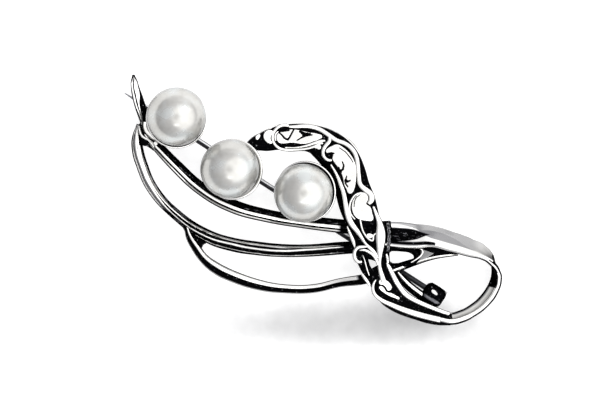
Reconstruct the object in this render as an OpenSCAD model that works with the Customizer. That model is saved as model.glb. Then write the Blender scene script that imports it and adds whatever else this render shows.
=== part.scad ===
// Silver spray brooch: three pearls on an openwork leaf, a scroll strap and a twisted ribbon bow.
// It lies on its back with its face up. X and Y run right and up across the face, Z out of it.

/* [Pearls] */
// Diameter of a pearl
pearl_d = 8; // [7.8:0.05:8]
// Gap between a pearl and the bowl of its cup
pearl_gap = 0.05; // [0.03:0.01:0.08]
// Diameter of a cup over its rim
cup_d = 8.3; // [8.2:0.05:8.4]
// Diameter of the peg that a pearl is glued on
peg_d = 0.9; // [0.8:0.05:1]

/* [Pin] */
// Diameter of the pin wire
pin_d = 0.8; // [0.7:0.05:0.8]
// Height of the pin's axis over the surface that the brooch lies on
pin_z = 1.35; // [1.3:0.01:1.4]
// Length of the pointed end
point_l = 4.5; // [3:0.5:5]
// Outer diameter of the eye
eye_d = 1.8; // [1.8:0.05:2]
// Diameter of the rivet through the eye
rivet_d = 0.8; // [0.7:0.05:0.8]
// Radial clearance of the eye on the rivet
eye_play = 0.05; // [0.03:0.01:0.08]

/* [Findings] */
// Thickness of a hinge ear
ear_t = 0.6; // [0.5:0.05:0.7]
// Width of the eye between the ears
eye_w = 0.9; // [0.8:0.05:0.9]
// Gap between the eye and an ear
ear_gap = 0.06; // [0.04:0.01:0.08]
// Thickness of a wall of the catch
catch_wall = 0.45; // [0.4:0.05:0.5]
// Length of the catch along the pin
catch_l = 1.8; // [1.4:0.1:2]

/* [Hidden] */
$fn = 48;

silver_colour = "silver";
pearl_colour = "whitesmoke";
steel_colour = "slategray";

pearl_r = pearl_d / 2;
pin_r = pin_d / 2;
rivet_r = rivet_d / 2;
bore_r = rivet_r + eye_play;
ear_rim = 0.1;
ear_r = eye_d / 2 + ear_rim;
ear_y = eye_w / 2 + ear_gap + ear_t / 2;

// The pin runs straight from its point, past the blade, to the hinge in the bow
pin_point = [-25.7, 14.6];
hinge_at = [16.6, -12.75];
pin_run = hinge_at - pin_point;
pin_length = norm(pin_run);
pin_turn = atan2(pin_run.y, pin_run.x);
catch_from_point = 5.9;

// Each pearl: its centre, how far its axis leans, and the way it leans round Z
PX = 0; PY = 1; PZ = 2; LEAN = 3; LEAN_TO = 4;
PEARLS = [
    [-18.5, 11.3, 7.0, 4, 80],
    [-11.3, 4.2, 6.9, 11, 178],
    [-1.3, 0.9, 7.2, 12, 217],
];

// Columns of every strip: centre x and y, height of its back, width, height of its section, roll
SX = 0; SY = 1; SZ = 2; SW = 3; SH = 4; ROLL = 5;

BLADE = [
    [-24.4, 17.1, 2.5, 0.10, 0.4, 0],
    [-24.3, 16.0, 2.4, 0.85, 1.1, 0],
    [-24.1, 14.7, 2.3, 1.10, 1.4, 0],
    [-23.6, 13.3, 2.3, 1.20, 1.5, 0],
    [-23.3, 12.1, 2.3, 1.20, 1.6, 0],
    [-23.1, 11.1, 2.3, 1.10, 1.6, 0],
    [-23.3, 9.9, 2.3, 0.90, 1.5, 0],
];

UPPER_RIB = [
    [-23.6, 10.3, 2.3, 0.8, 1.3, 0],
    [-22.7, 8.8, 2.4, 1.2, 1.5, 0],
    [-21.2, 7.3, 2.5, 1.5, 1.6, 0],
    [-18.8, 4.8, 2.6, 1.7, 1.7, 0],
    [-15.3, 1.6, 2.7, 1.8, 1.8, 0],
    [-11.0, -0.8, 2.8, 1.9, 1.8, 0],
    [-6.5, -2.1, 2.9, 1.8, 1.8, 0],
    [-1.1, -3.0, 2.9, 1.8, 1.8, 0],
    [4.1, -3.6, 3.1, 1.9, 1.8, 0],
    [7.4, -3.9, 3.2, 1.9, 1.7, 0],
    [10.5, -4.2, 3.3, 1.8, 1.7, 0],
    [13.2, -4.5, 3.5, 1.2, 1.5, 0],
    [15.7, -4.8, 3.8, 0.2, 0.9, 0],
];

MIDDLE_RIB = [
    [-23.4, 10.1, 2.3, 0.7, 1.3, 0],
    [-24.0, 8.6, 2.1, 1.2, 1.5, 0],
    [-24.1, 6.8, 1.8, 1.4, 1.6, 0],
    [-23.6, 5.0, 1.4, 1.5, 1.7, 0],
    [-21.9, 1.5, 0.9, 1.5, 1.7, 0],
    [-18.5, -2.0, 0.5, 1.6, 1.7, 0],
    [-14.2, -4.9, 0.5, 1.8, 1.7, 0],
    [-10.9, -6.1, 0.9, 1.9, 1.7, 0],
    [-7.7, -6.6, 1.4, 1.9, 1.7, 0],
    [-4.2, -6.9, 1.9, 1.8, 1.7, 0],
    [-0.7, -6.9, 2.3, 1.7, 1.7, 0],
    [4.9, -6.5, 2.9, 1.7, 1.7, 0],
    [8.1, -6.4, 3.1, 1.4, 1.7, 0],
    [10.9, -6.3, 3.2, 1.4, 1.6, 0],
    [13.6, -6.4, 3.3, 1.2, 1.4, 0],
    [15.6, -6.6, 3.4, 0.6, 1.1, 0],
];

// The lobe runs on under the strap as the bow's inner strand
LOBE_RIB = [
    [-17.3, -3.7, 0.5, 0.6, 1.3, 0],
    [-16.9, -5.0, 0.4, 0.9, 1.5, 0],
    [-15.9, -6.7, 0.3, 1.2, 1.6, 0],
    [-14.9, -8.1, 0.1, 1.2, 1.7, 0],
    [-13.3, -9.4, 0.0, 1.4, 1.8, 0],
    [-11.3, -10.4, 0.0, 1.4, 1.8, 0],
    [-7.3, -11.7, 0.0, 1.3, 1.8, 0],
    [-3.6, -12.2, 0.1, 1.1, 1.8, 0],
    [0.2, -12.1, 0.4, 1.2, 1.8, 0],
    [3.7, -11.3, 1.1, 1.2, 1.8, 0],
    [7.0, -10.8, 2.1, 1.4, 1.8, 0],
    [9.4, -10.1, 2.6, 1.3, 1.7, 0],
    [11.2, -9.4, 2.9, 1.1, 1.5, 0],
    [13.0, -8.8, 3.0, 1.0, 1.3, 0],
    [16.2, -7.8, 3.1, 0.8, 1.2, 0],
    [19.8, -7.3, 3.1, 0.6, 1.1, 0],
];

// The strap's floor, from the middle pearl over the top to the knot
STRAP = [
    [-8.6, 7.1, 4.5, 1.5, 1.2, 0],
    [-7.9, 7.6, 4.4, 1.9, 1.3, 0],
    [-6.6, 8.0, 4.2, 2.7, 1.3, 0],
    [-4.6, 8.5, 4.0, 3.3, 1.3, 0],
    [-2.3, 8.6, 3.9, 3.7, 1.3, 0],
    [-0.1, 8.4, 4.0, 3.8, 1.3, 0],
    [2.2, 7.3, 4.2, 4.5, 1.3, 0],
    [3.9, 5.8, 4.4, 4.7, 1.3, 0],
    [4.95, 3.85, 4.6, 4.6, 1.3, 0],
    [5.7, 1.8, 4.7, 4.3, 1.3, 0],
    [6.6, -0.3, 4.8, 4.1, 1.3, 0],
    [7.1, -2.0, 4.7, 3.9, 1.3, 0],
    [7.5, -3.3, 4.4, 3.6, 1.2, 0],
];

// The lower arm, from the knot down to the bow's end
ARM = [
    [8.7, -9.6, 3.7, 3.3, 1.3, 0],
    [9.7, -11.4, 3.4, 3.4, 1.3, 0],
    [10.4, -12.6, 3.1, 3.4, 1.3, 0],
    [11.5, -13.7, 2.8, 3.0, 1.3, 0],
    [12.8, -14.5, 2.6, 2.6, 1.3, 0],
    [14.3, -15.1, 2.4, 2.4, 1.3, 0],
    [15.9, -15.7, 2.3, 2.2, 1.2, 0],
    [17.6, -16.1, 2.2, 1.9, 1.2, 0],
    [18.9, -16.3, 2.2, 1.5, 1.1, 0],
];

// Height of the worked face where the strap opens over the knot, for the scrolls there
KNOT_FACE = [
    [8.5, -6.0, 4.5, 3.0, 1.3, 0],
    [8.3, -8.0, 4.1, 3.4, 1.3, 0],
];
FACE = concat(STRAP, KNOT_FACE, ARM);
// Share of a section's height at which its floor lies
floor_share = 0.75;

// The bow's ribbon: here the height is that of its middle, and the section is width by thickness
BOW = [
    [9.4, -4.6, 4.2, 3.4, 0.8, -15],
    [11.6, -4.8, 4.2, 3.7, 0.8, -20],
    [13.8, -5.0, 4.1, 3.8, 0.8, -30],
    [16.1, -5.0, 3.9, 3.8, 0.7, -45],
    [18.8, -5.7, 3.7, 3.8, 0.7, -50],
    [21.4, -6.5, 3.2, 3.8, 0.7, -56],
    [23.3, -7.2, 2.7, 3.8, 0.7, -68],
    [24.5, -8.4, 2.3, 3.8, 0.8, -84],
    [25.05, -9.8, 2.0, 3.8, 0.7, -98],
    [25.0, -11.0, 1.95, 3.8, 0.7, -104],
    [24.5, -12.3, 2.0, 3.7, 0.7, -104],
    [23.4, -13.8, 2.2, 3.4, 0.7, -102],
    [21.8, -15.1, 2.4, 3.1, 0.7, -102],
    [20.2, -15.9, 2.6, 2.9, 0.8, -104],
    [18.8, -16.2, 2.8, 2.6, 0.8, -108],
    [17.4, -16.0, 2.9, 2.2, 0.8, -115],
];

// The strap's deep wall on the side of pearl 3, and the worked band at the knot's right edge
SIDE_WALL = [
    [-0.2, 6.5, 3.7, 0.4, 1.4, 0],
    [1.7, 4.7, 3.6, 0.9, 1.6, 0],
    [2.8, 3.0, 3.5, 1.2, 1.7, 0],
    [3.6, 1.2, 3.4, 1.2, 1.8, 0],
    [4.1, -0.7, 3.4, 1.2, 1.8, 0],
    [4.7, -2.4, 3.4, 1.1, 1.8, 0],
    [5.5, -4.0, 3.4, 0.8, 1.8, 0],
];
COLLAR = [
    [10.2, -2.9, 3.5, 0.8, 1.7, 0],
    [10.4, -4.8, 3.5, 0.9, 1.8, 0],
    [10.2, -7.0, 3.5, 0.8, 1.6, 0],
];
// The bright collar that joins the cup of pearl 1 to the upper rib
CUP_COLLAR = [
    [-22.9, 10.7, 3.6, 0.5, 1.2, 0],
    [-22.4, 9.4, 3.6, 0.8, 1.3, 0],
    [-21.4, 8.3, 3.6, 0.8, 1.3, 0],
    [-20.1, 7.7, 3.6, 0.5, 1.1, 0],
];

// Where the ribs are gathered under the strap
KNOT = [[5.1, -3.2], [10.4, -2.9], [10.7, -6.9], [9.4, -8.0], [6.0, -7.6], [5.1, -5.6]];
knot_z = 3.2;
knot_h = 1.5;
// The web in the fork between the bow's two strands
FORK = [[13.7, -6.2], [16.5, -6.1], [19.9, -6.8], [17.0, -7.7], [14.6, -8.2], [13.9, -7.2]];
fork_z = 3.4;
fork_h = 0.7;

// Raised scroll lines on the worked face: x, y and width of the line
LX = 0; LY = 1; LW = 2;
SCROLLS = [
    // outer rim of the strap, ending in the C-scroll
    [[-6.8, 9.0, 0.3], [-4.6, 9.7, 0.5], [-1.3, 10.0, 0.55], [1.3, 9.3, 0.55], [2.7, 8.3, 0.55],
        [4.3, 7.6, 0.55], [5.8, 6.1, 0.6], [6.4, 3.8, 0.6], [6.5, 1.7, 0.6], [7.5, 1.3, 0.75],
        [8.3, 0.5, 0.8], [8.1, -0.6, 0.7], [7.3, -0.8, 0.4]],
    // inner rim of the strap, running down to the stem
    [[2.5, 4.6, 0.5], [3.3, 3.2, 0.6], [4.2, 0.9, 0.6], [5.0, -2.2, 0.6], [5.9, -4.2, 0.6],
        [7.4, -6.2, 0.6], [9.0, -8.4, 0.6]],
    // the big scroll round the first leaf, turning back in an S
    [[-4.3, 9.8, 0.45], [-5.3, 9.2, 0.55], [-5.6, 8.4, 0.55], [-5.2, 7.5, 0.55], [-4.2, 7.0, 0.55],
        [-1.9, 6.8, 0.5], [0.2, 7.5, 0.5], [1.0, 7.6, 0.55], [1.2, 6.7, 0.55], [1.0, 6.0, 0.55],
        [1.4, 5.3, 0.55], [2.0, 5.1, 0.5], [2.6, 5.3, 0.5], [2.8, 6.0, 0.35]],
    // main stem over the knot
    [[8.8, -2.2, 0.6], [9.4, -3.4, 0.7], [9.6, -4.9, 0.8], [9.2, -6.3, 0.8], [9.1, -7.5, 0.75],
        [9.2, -8.7, 0.7], [9.3, -9.8, 0.8], [9.8, -11.0, 1.0]],
    // thin rib beside the stem
    [[6.4, -2.6, 0.4], [6.7, -3.7, 0.45], [7.1, -4.6, 0.45], [7.9, -5.5, 0.5], [8.8, -6.4, 0.5]],
    // hook scroll at the strap's left edge
    [[9.0, -7.8, 0.6], [8.2, -6.8, 0.6], [7.3, -6.3, 0.6], [6.4, -6.2, 0.6], [5.8, -6.5, 0.6],
        [5.7, -7.2, 0.6], [6.1, -8.2, 0.6], [6.8, -10.0, 0.55], [8.0, -12.3, 0.6], [9.4, -14.0, 0.7],
        [12.4, -15.3, 0.8], [16.1, -16.4, 0.75], [18.8, -16.8, 0.6]],
    // inner rim of the lower arm
    [[9.3, -7.6, 0.6], [10.3, -9.3, 0.7], [11.5, -11.4, 0.75], [12.9, -13.1, 0.75],
        [15.2, -14.4, 0.65], [17.3, -15.2, 0.6], [18.9, -15.6, 0.5]],
];

// Raised leaves and blobs: each is a row of discs x, y, radius and height of the crown
DX = 0; DY = 1; DR = 2; DH = 3;
LEAVES = [
    // beads and lobe at the strap's left end
    [[-7.5, 8.3, 0.35, 0.35]],
    [[-6.1, 9.0, 0.5, 0.3], [-6.0, 8.2, 0.65, 0.35]],
    // first leaf, inside the big scroll
    [[-4.3, 8.2, 0.6, 0.3], [-3.4, 8.0, 0.7, 0.35]],
    [[-3.0, 8.6, 0.7, 0.3], [-1.2, 8.3, 0.8, 0.35], [0.6, 8.4, 0.4, 0.25]],
    // second leaf, over the strap's shoulder
    [[2.6, 7.0, 0.9, 0.35], [4.1, 6.3, 1.0, 0.4]],
    [[4.1, 6.3, 1.0, 0.4], [5.0, 4.3, 1.1, 0.45]],
    [[5.0, 4.3, 1.1, 0.45], [5.3, 2.4, 0.9, 0.4], [5.2, 0.9, 0.15, 0.15]],
    // oval lobe above the knot
    [[6.7, 0.3, 1.0, 0.4], [6.8, -1.0, 1.4, 0.5], [7.2, -2.1, 1.0, 0.4]],
    // foot of the stem and the leaf tips under it
    [[9.8, -11.3, 0.6, 0.45], [10.2, -11.8, 0.65, 0.5]],
    [[9.2, -12.0, 0.3, 0.2], [9.9, -12.6, 0.3, 0.2]],
    [[10.9, -12.5, 0.3, 0.2], [11.6, -13.1, 0.25, 0.2]],
];

// Sections across a strip, counter-clockwise: share of the width and share of the height
RIB_SECTION = [
    [0.40, 0], [0.50, 0.20], [0.50, 0.64], [0.42, 0.74], [0.34, 0.50], [0.10, 0.50], [0.02, 0.94],
    [-0.08, 1], [-0.16, 0.70], [-0.24, 0.88], [-0.38, 0.80], [-0.50, 0.35], [-0.40, 0],
];
LOBE_SECTION = [
    [0.40, 0], [0.50, 0.20], [0.50, 0.70], [0.36, 0.95], [0.12, 1], [0, 0.85], [-0.08, 0.50],
    [-0.36, 0.42], [-0.50, 0.50], [-0.50, 0.15], [-0.40, 0],
];
BLADE_SECTION = [
    [0.35, 0], [0.50, 0.30], [0.12, 0.95], [0, 1], [-0.10, 0.80], [-0.20, 0.92], [-0.42, 0.70],
    [-0.50, 0.30], [-0.35, 0],
];
FLOOR_SECTION = [
    [0.42, 0], [0.50, 0.30], [0.50, 0.60], [0.44, 0.72], [0.15, 0.78], [-0.15, 0.78],
    [-0.44, 0.72], [-0.50, 0.60], [-0.50, 0.30], [-0.42, 0],
];
WALL_SECTION = [[0.50, 0], [0.50, 1], [0.20, 1], [-0.40, 0.60], [-0.50, 0]];
COLLAR_SECTION = [[0.50, 0], [0.50, 0.70], [0.20, 1], [-0.20, 1], [-0.50, 0.70], [-0.50, 0]];
// The ribbon's section is centred on its middle, with a shallow hollow down its outer face
RIBBON_SECTION = [
    [0.46, -0.50], [0.50, -0.10], [0.48, 0.45], [0.40, 0.50], [0, 0.34], [-0.40, 0.50],
    [-0.48, 0.45], [-0.50, -0.10], [-0.46, -0.50], [0, -0.36],
];
line_sides = 6;
LINE_SECTION = [for (i = [0 : line_sides - 1]) [cos(i * 360 / line_sides), sin(i * 360 / line_sides)] / 2];

// Smooth value between the rows of a table, at a row number that may be a fraction
function between(rows, s) =
    let (
        last = len(rows) - 1,
        i = min(floor(s), last - 1),
        t = s - i,
        a = rows[max(i - 1, 0)],
        b = rows[i],
        c = rows[i + 1],
        d = rows[min(i + 2, last)]
    )
    (2 * b + (c - a) * t + (2 * a - 5 * b + 4 * c - d) * t * t + (3 * b - a - 3 * c + d) * t * t * t) / 2;

function unit(v) = v / norm(v);

function place(rows, s) = let (r = between(rows, s)) [r[SX], r[SY], max(r[SZ], 0)];

// Direction of travel along a strip
function heading(rows, s) =
    let (step = 0.05, last = len(rows) - 1)
    unit(place(rows, min(s + step, last)) - place(rows, max(s - step, 0)));

// One ring of a strip: the section's points, set across the direction of travel and rolled about it
function ring(rows, section, s) =
    let (
        row = between(rows, s),
        forward = heading(rows, s),
        left = unit(cross([0, 0, 1], forward)),
        up = cross(forward, left),
        across = left * cos(row[ROLL]) + up * sin(row[ROLL]),
        out = up * cos(row[ROLL]) - left * sin(row[ROLL])
    )
    [for (q = section) place(rows, s) + across * q.x * row[SW] + out * q.y * row[SH]];

function middle(points) = [for (k = [0 : 2]) [for (p = points) p[k]] * [for (p = points) 1] / len(points)];

module strip(rows, section, rings_per_row = 2) {
    n = len(section);
    count = (len(rows) - 1) * rings_per_row;
    rings = [for (i = [0 : count]) ring(rows, section, i / rings_per_row)];
    points = concat([for (r = rings) each r], [middle(rings[0]), middle(rings[count])]);
    start = n * (count + 1);
    sides = [
        for (i = [0 : count - 1], k = [0 : n - 1])
            let (a = i * n + k, b = i * n + (k + 1) % n)
            each [[a, a + n, b], [b, a + n, b + n]]
    ];
    ends = [
        for (k = [0 : n - 1])
            let (j = (k + 1) % n)
            each [[start, k, j], [start + 1, count * n + j, count * n + k]]
    ];
    polyhedron(points, concat(sides, ends));
}

// Height of the worked face's floor at the section nearest to a point
function floor_z(x, y) =
    let (
        parts = 3,
        near = [for (i = [0 : parts * (len(FACE) - 1)]) between(FACE, i / parts)],
        far = [for (r = near) norm([r[SX] - x, r[SY] - y])],
        best = near[search(min(far), far)[0]]
    )
    best[SZ] + floor_share * best[SH];

module scroll_line(line) {
    rows = [for (p = line) [p[LX], p[LY], floor_z(p[LX], p[LY]), p[LW], p[LW], 0]];
    strip(rows, LINE_SECTION);
}

module leaf(discs) {
    root = 0.1;
    hull()
        for (d = discs)
            translate([d[DX], d[DY], floor_z(d[DX], d[DY]) - root])
                scale([d[DR], d[DR], d[DH] + root])
                    sphere(r = 1, $fn = 10);
}

module at_pearl(i) {
    p = PEARLS[i];
    translate([p[PX], p[PY], p[PZ]])
        rotate([0, 0, p[LEAN_TO]])
            rotate([0, p[LEAN], 0])
                children();
}

// A dished cup with a flared rim and the peg that holds the pearl
module cup() {
    bowl_r = pearl_r + pearl_gap;
    steps = 5;
    bowl_edge = 50;
    bowl = [for (i = [0 : steps]) let (a = i * bowl_edge / steps) bowl_r * [sin(a), -cos(a)]];
    rim_r = cup_d / 2;
    rim_z = -2.05;
    rim_t = 0.25;
    lip_w = 0.3;
    rim = [[rim_r - lip_w, rim_z], [rim_r, rim_z], [rim_r, rim_z - rim_t]];
    back = [[3.45, -3.1], [2.4, -4.0], [1.2, -4.45], [0, -4.55]];
    peg_root = 0.4;
    peg_l = 2.6;
    rotate_extrude($fn = 26)
        polygon(concat(bowl, rim, back));
    translate([0, 0, -pearl_r - peg_root])
        cylinder(d = peg_d, h = peg_l, $fn = 12);
}

// Runs along the pin: X from the point to the hinge, Z up, from the hinge's axis
module at_hinge() {
    translate([hinge_at.x, hinge_at.y, pin_z])
        rotate([0, 0, pin_turn])
            children();
}

module hinge_bracket() {
    web_x = ear_r;
    web_t = 0.5;
    web_h = 1.6;
    web_z = -0.6;
    ears_w = 2 * ear_y + ear_t;
    foot_y = 2.3;
    foot_x = -0.5;
    foot_h = 1.7;
    rivet_play = 0.03;
    hole_l = ears_w + 0.2;
    at_hinge()
        difference() {
            union() {
                for (side = [-1, 1])
                    hull() {
                        translate([0, side * ear_y, 0])
                            rotate([90, 0, 0])
                                cylinder(r = ear_r, h = ear_t, center = true, $fn = 24);
                        translate([web_x, side * ear_y - ear_t / 2, web_z])
                            cube([web_t, ear_t, web_h]);
                    }
                translate([web_x, -ears_w / 2, web_z])
                    cube([web_t, ears_w, web_h]);
                translate([foot_x, -foot_y, foot_x])
                    cube([web_x + web_t - foot_x, foot_y - ear_y, foot_h]);
            }
            rotate([90, 0, 0])
                cylinder(r = rivet_r + rivet_play, h = hole_l, center = true, $fn = 24);
        }
}

// A plain housing on the back of the first cup. Its mouth faces away from the brooch's back.
module catch_housing() {
    slot_play = 0.25;
    roof_gap = 0.15;
    top_z = 3.3;
    slot_w = pin_d + slot_play;
    roof_z = pin_z + pin_r + roof_gap;
    w = slot_w + 2 * catch_wall;
    translate([pin_point.x, pin_point.y, 0])
        rotate([0, 0, pin_turn])
            translate([catch_from_point, 0, 0])
                difference() {
                    translate([-catch_l / 2, -w / 2, 0])
                        cube([catch_l, w, top_z]);
                    translate([-catch_l, -slot_w / 2, -1])
                        cube([2 * catch_l, slot_w, roof_z + 1]);
                }
}

module silver_frame() {
    color(silver_colour)
        union() {
            strip(BLADE, BLADE_SECTION);
            strip(UPPER_RIB, RIB_SECTION);
            strip(MIDDLE_RIB, RIB_SECTION);
            strip(LOBE_RIB, LOBE_SECTION);
            strip(STRAP, FLOOR_SECTION);
            strip(ARM, FLOOR_SECTION);
            strip(BOW, RIBBON_SECTION);
            strip(SIDE_WALL, WALL_SECTION);
            strip(COLLAR, COLLAR_SECTION);
            strip(CUP_COLLAR, COLLAR_SECTION);
            translate([0, 0, knot_z])
                linear_extrude(knot_h)
                    polygon(KNOT);
            translate([0, 0, fork_z])
                linear_extrude(fork_h)
                    polygon(FORK);
            for (line = SCROLLS)
                scroll_line(line);
            for (discs = LEAVES)
                leaf(discs);
            for (i = [0 : len(PEARLS) - 1])
                at_pearl(i)
                    cup();
            hinge_bracket();
            catch_housing();
        }
}

// A half-drilled pearl
module pearl(i) {
    hole_r = peg_d / 2 + pearl_gap;
    hole_depth = 2.4;
    color(pearl_colour)
        at_pearl(i)
            difference() {
                sphere(r = pearl_r, $fn = 72);
                translate([0, 0, -pearl_r - 1])
                    cylinder(r = hole_r, h = hole_depth + 1, $fn = 24);
            }
}

module pin_stem() {
    root_x = bore_r + 0.25;
    shank_l = pin_length - root_x - point_l;
    point_r = 0.08;
    color(steel_colour)
        at_hinge() {
            difference() {
                union() {
                    rotate([90, 0, 0])
                        cylinder(d = eye_d, h = eye_w, center = true);
                    translate([-root_x, 0, 0])
                        rotate([0, -90, 0])
                            cylinder(r = pin_r, h = shank_l);
                }
                rotate([90, 0, 0])
                    cylinder(r = bore_r, h = eye_w + 1, center = true);
            }
            translate([-root_x - shank_l, 0, 0])
                rotate([0, -90, 0])
                    cylinder(r1 = pin_r, r2 = point_r, h = point_l);
        }
}

module hinge_rivet() {
    inner_end = ear_y + ear_t / 2;
    head_gap = 0.02;
    head_t = 0.25;
    head_rim = 0.25;
    color(steel_colour)
        at_hinge()
            rotate([90, 0, 0]) {
                translate([0, 0, -inner_end - head_gap])
                    cylinder(r = rivet_r, h = 2 * inner_end + head_gap);
                translate([0, 0, -inner_end - head_gap - head_t])
                    cylinder(r = rivet_r + head_rim, h = head_t);
            }
}

silver_frame();
pearl(0);  // pearl_1
pearl(1);  // pearl_2
pearl(2);  // pearl_3
pin_stem();
hinge_rivet();
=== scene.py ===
import math

import bpy
from mathutils import Matrix, Vector, noise


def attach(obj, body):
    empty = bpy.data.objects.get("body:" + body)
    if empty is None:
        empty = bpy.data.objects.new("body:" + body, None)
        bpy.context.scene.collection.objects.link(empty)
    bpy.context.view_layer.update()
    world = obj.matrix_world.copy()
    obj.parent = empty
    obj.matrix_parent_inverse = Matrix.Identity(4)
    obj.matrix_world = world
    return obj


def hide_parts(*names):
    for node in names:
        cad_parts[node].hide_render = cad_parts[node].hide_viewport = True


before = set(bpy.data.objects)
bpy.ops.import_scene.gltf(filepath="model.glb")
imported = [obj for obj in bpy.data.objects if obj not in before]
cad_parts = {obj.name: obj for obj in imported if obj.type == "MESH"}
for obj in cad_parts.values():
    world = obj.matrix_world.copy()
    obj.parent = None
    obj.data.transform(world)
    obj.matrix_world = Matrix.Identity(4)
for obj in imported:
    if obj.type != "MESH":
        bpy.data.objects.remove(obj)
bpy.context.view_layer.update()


# The view
# The photograph looks straight down on the brooch's face, from far away, with the brooch a little
# right of the middle of the picture. PHOTO_WIDTH is what it takes in at the height of the face.
MM = 0.001
PHOTO_WIDTH = 81.63
FACE_HEIGHT = 5.0
VIEW_CENTRE = (-1.74, -0.01)
CAMERA_HEIGHT = 900.0
SENSOR = 36.0

bpy.ops.object.camera_add(
    location=(VIEW_CENTRE[0] * MM, VIEW_CENTRE[1] * MM, CAMERA_HEIGHT * MM), rotation=(0, 0, 0)
)
camera = bpy.context.object
camera.name = "camera"
camera.data.sensor_width = SENSOR
camera.data.lens = SENSOR * (CAMERA_HEIGHT - FACE_HEIGHT) / PHOTO_WIDTH
camera.data.clip_start = 0.01
camera.data.clip_end = 10.0
bpy.context.scene.camera = camera


# The cast silver
# The spray is lost-wax cast sterling silver, blackened all over with liver of sulphur and then
# polished: the buff reaches the ridges, and the black stays in the channels and on steep walls.
def linear(hex_colour):
    """An sRGB hex colour as linear RGBA."""
    parts = [int(hex_colour[i : i + 2], 16) / 255 for i in (1, 3, 5)]
    return (*[c / 12.92 if c <= 0.04045 else ((c + 0.055) / 1.055) ** 2.4 for c in parts], 1)


def add(tree, kind, output, inputs=None, stops=None, **settings):
    """The named output of a new node with its settings, its inputs as values or links, and on a
    colour ramp its stops of place and hex colour."""
    node = tree.nodes.new("ShaderNode" + kind)
    for key, value in settings.items():
        setattr(node, key, value)
    if stops:
        elements = node.color_ramp.elements
        while len(elements) < len(stops):
            elements.new(0.5)
        for element, (place, colour) in zip(elements, stops):
            element.position = place
            element.color = linear(colour)
    for key, value in (inputs or {}).items():
        if isinstance(value, bpy.types.NodeSocket):
            tree.links.new(value, node.inputs[key])
        else:
            node.inputs[key].default_value = value
    return node.outputs[output] if output is not None else node


def new_material(name, shader_of):
    """A material whose shader is made by a function of the node tree and the place on the piece."""
    material = bpy.data.materials.new(name)
    material.use_nodes = True
    tree = material.node_tree
    tree.nodes.clear()
    shader = shader_of(tree, add(tree, "TexCoord", "Object"))
    add(tree, "OutputMaterial", None, {"Surface": shader})
    return material


# The patina where the black begins, the middle of its speckled edge, and where it is full
BLACK_FROM, BLACK_EDGE, BLACK_FULL = 0.5, 0.57, 0.64


def cast_silver(tree, place):
    """Polished sterling, toned grey and then black as its patina attribute rises from 0 to 1."""
    silver, toned, black = "#F4F3F0", "#6C6C70", "#050506"
    grain_mm, cloud_mm = 0.26, 0.6
    patina = add(tree, "Attribute", "Fac", attribute_name="patina")
    cloud = add(
        tree, "TexNoise", "Fac",
        {"Vector": place, "Scale": 1 / (cloud_mm * MM), "Detail": 3.0, "Roughness": 0.6},
    )
    grain = add(
        tree, "TexNoise", "Fac",
        {"Vector": place, "Scale": 1 / (grain_mm * MM), "Detail": 2.0, "Roughness": 0.5},
    )
    worn = add(
        tree, "MapRange", "Result",
        {"Value": cloud, "From Min": 0.25, "From Max": 0.75, "To Min": -0.07, "To Max": 0.07},
    )
    edge = add(tree, "Math", "Value", {0: patina, 1: worn}, operation="ADD")
    mask = add(
        tree, "MapRange", "Result", {"Value": edge, "From Min": BLACK_FROM, "From Max": BLACK_FULL}
    )
    tone = add(
        tree, "MapRange", "Result", {"Value": patina, "From Min": 0.02, "From Max": BLACK_FROM}
    )
    bright = add(tree, "Mix", 2, {0: tone, 6: linear(silver), 7: linear(toned)}, data_type="RGBA")
    specks = [(0.56, black), (0.68, "#101012"), (0.76, "#8A8A8C")]
    dark = add(tree, "ValToRGB", "Color", {"Fac": grain}, specks)
    colour = add(tree, "Mix", 2, {0: mask, 6: bright, 7: dark}, data_type="RGBA")
    gloss = add(
        tree, "MapRange", "Result",
        {"Value": cloud, "From Min": 0.2, "From Max": 0.8, "To Min": 0.13, "To Max": 0.24},
    )
    rough = add(tree, "Mix", 0, {0: mask, 2: gloss, 3: 0.4}, data_type="FLOAT")
    depth = add(tree, "Mix", 0, {0: mask, 2: 0.02, 3: 0.5}, data_type="FLOAT")
    bump = add(tree, "Bump", "Normal", {"Strength": depth, "Distance": 0.05 * MM, "Height": grain})
    return add(
        tree, "BsdfPrincipled", "BSDF",
        {
            "Base Color": colour, "Metallic": 1.0, "Roughness": rough, "Normal": bump,
            "Specular Tint": linear("#4C4C4E"),
        },
    )


silver_material = new_material("oxidised_sterling_silver", cast_silver)


# The ribs of the leaf
# Three cast ribs make the open leaf. The upper one has two polished ridges with blackened channels
# beside them, the middle one two ridges and a ledge, and the lobe a single ridge over a low rim.
def only(obj):
    """Selects one object, in object mode."""
    bpy.ops.object.select_all(action="DESELECT")
    obj.select_set(True)
    bpy.context.view_layer.objects.active = obj


def to_metres(obj):
    """Takes a mesh drawn in millimetres to metres, merges its doubles and turns its faces outwards."""
    only(obj)
    bpy.ops.object.transform_apply(location=True, rotation=True, scale=True)
    bpy.ops.object.mode_set(mode="EDIT")
    bpy.ops.mesh.select_all(action="SELECT")
    bpy.ops.mesh.remove_doubles(threshold=0.0005)
    bpy.ops.mesh.normals_make_consistent(inside=False)
    bpy.ops.transform.resize(value=(MM, MM, MM), center_override=(0, 0, 0))
    bpy.ops.object.mode_set(mode="OBJECT")


def clamp(share):
    """A share, kept between nought and one."""
    return max(0.0, min(1.0, share))


# The back is only wiped after the blackening: it is toned grey, the more so the more it looks down
BACK_TONE, WIPED_FROM, WIPED_AT = 0.36, 0.3, 0.6


def wipe_back(obj):
    """Takes the black of a silver piece down to the back's tone on faces that look down."""
    for vertex, level in zip(obj.data.vertices, obj.data.attributes["patina"].data):
        turned_down = clamp((-vertex.normal.z - WIPED_FROM) / (WIPED_AT - WIPED_FROM))
        level.value = min(level.value, 1.0 - (1.0 - BACK_TONE) * turned_down)


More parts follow.
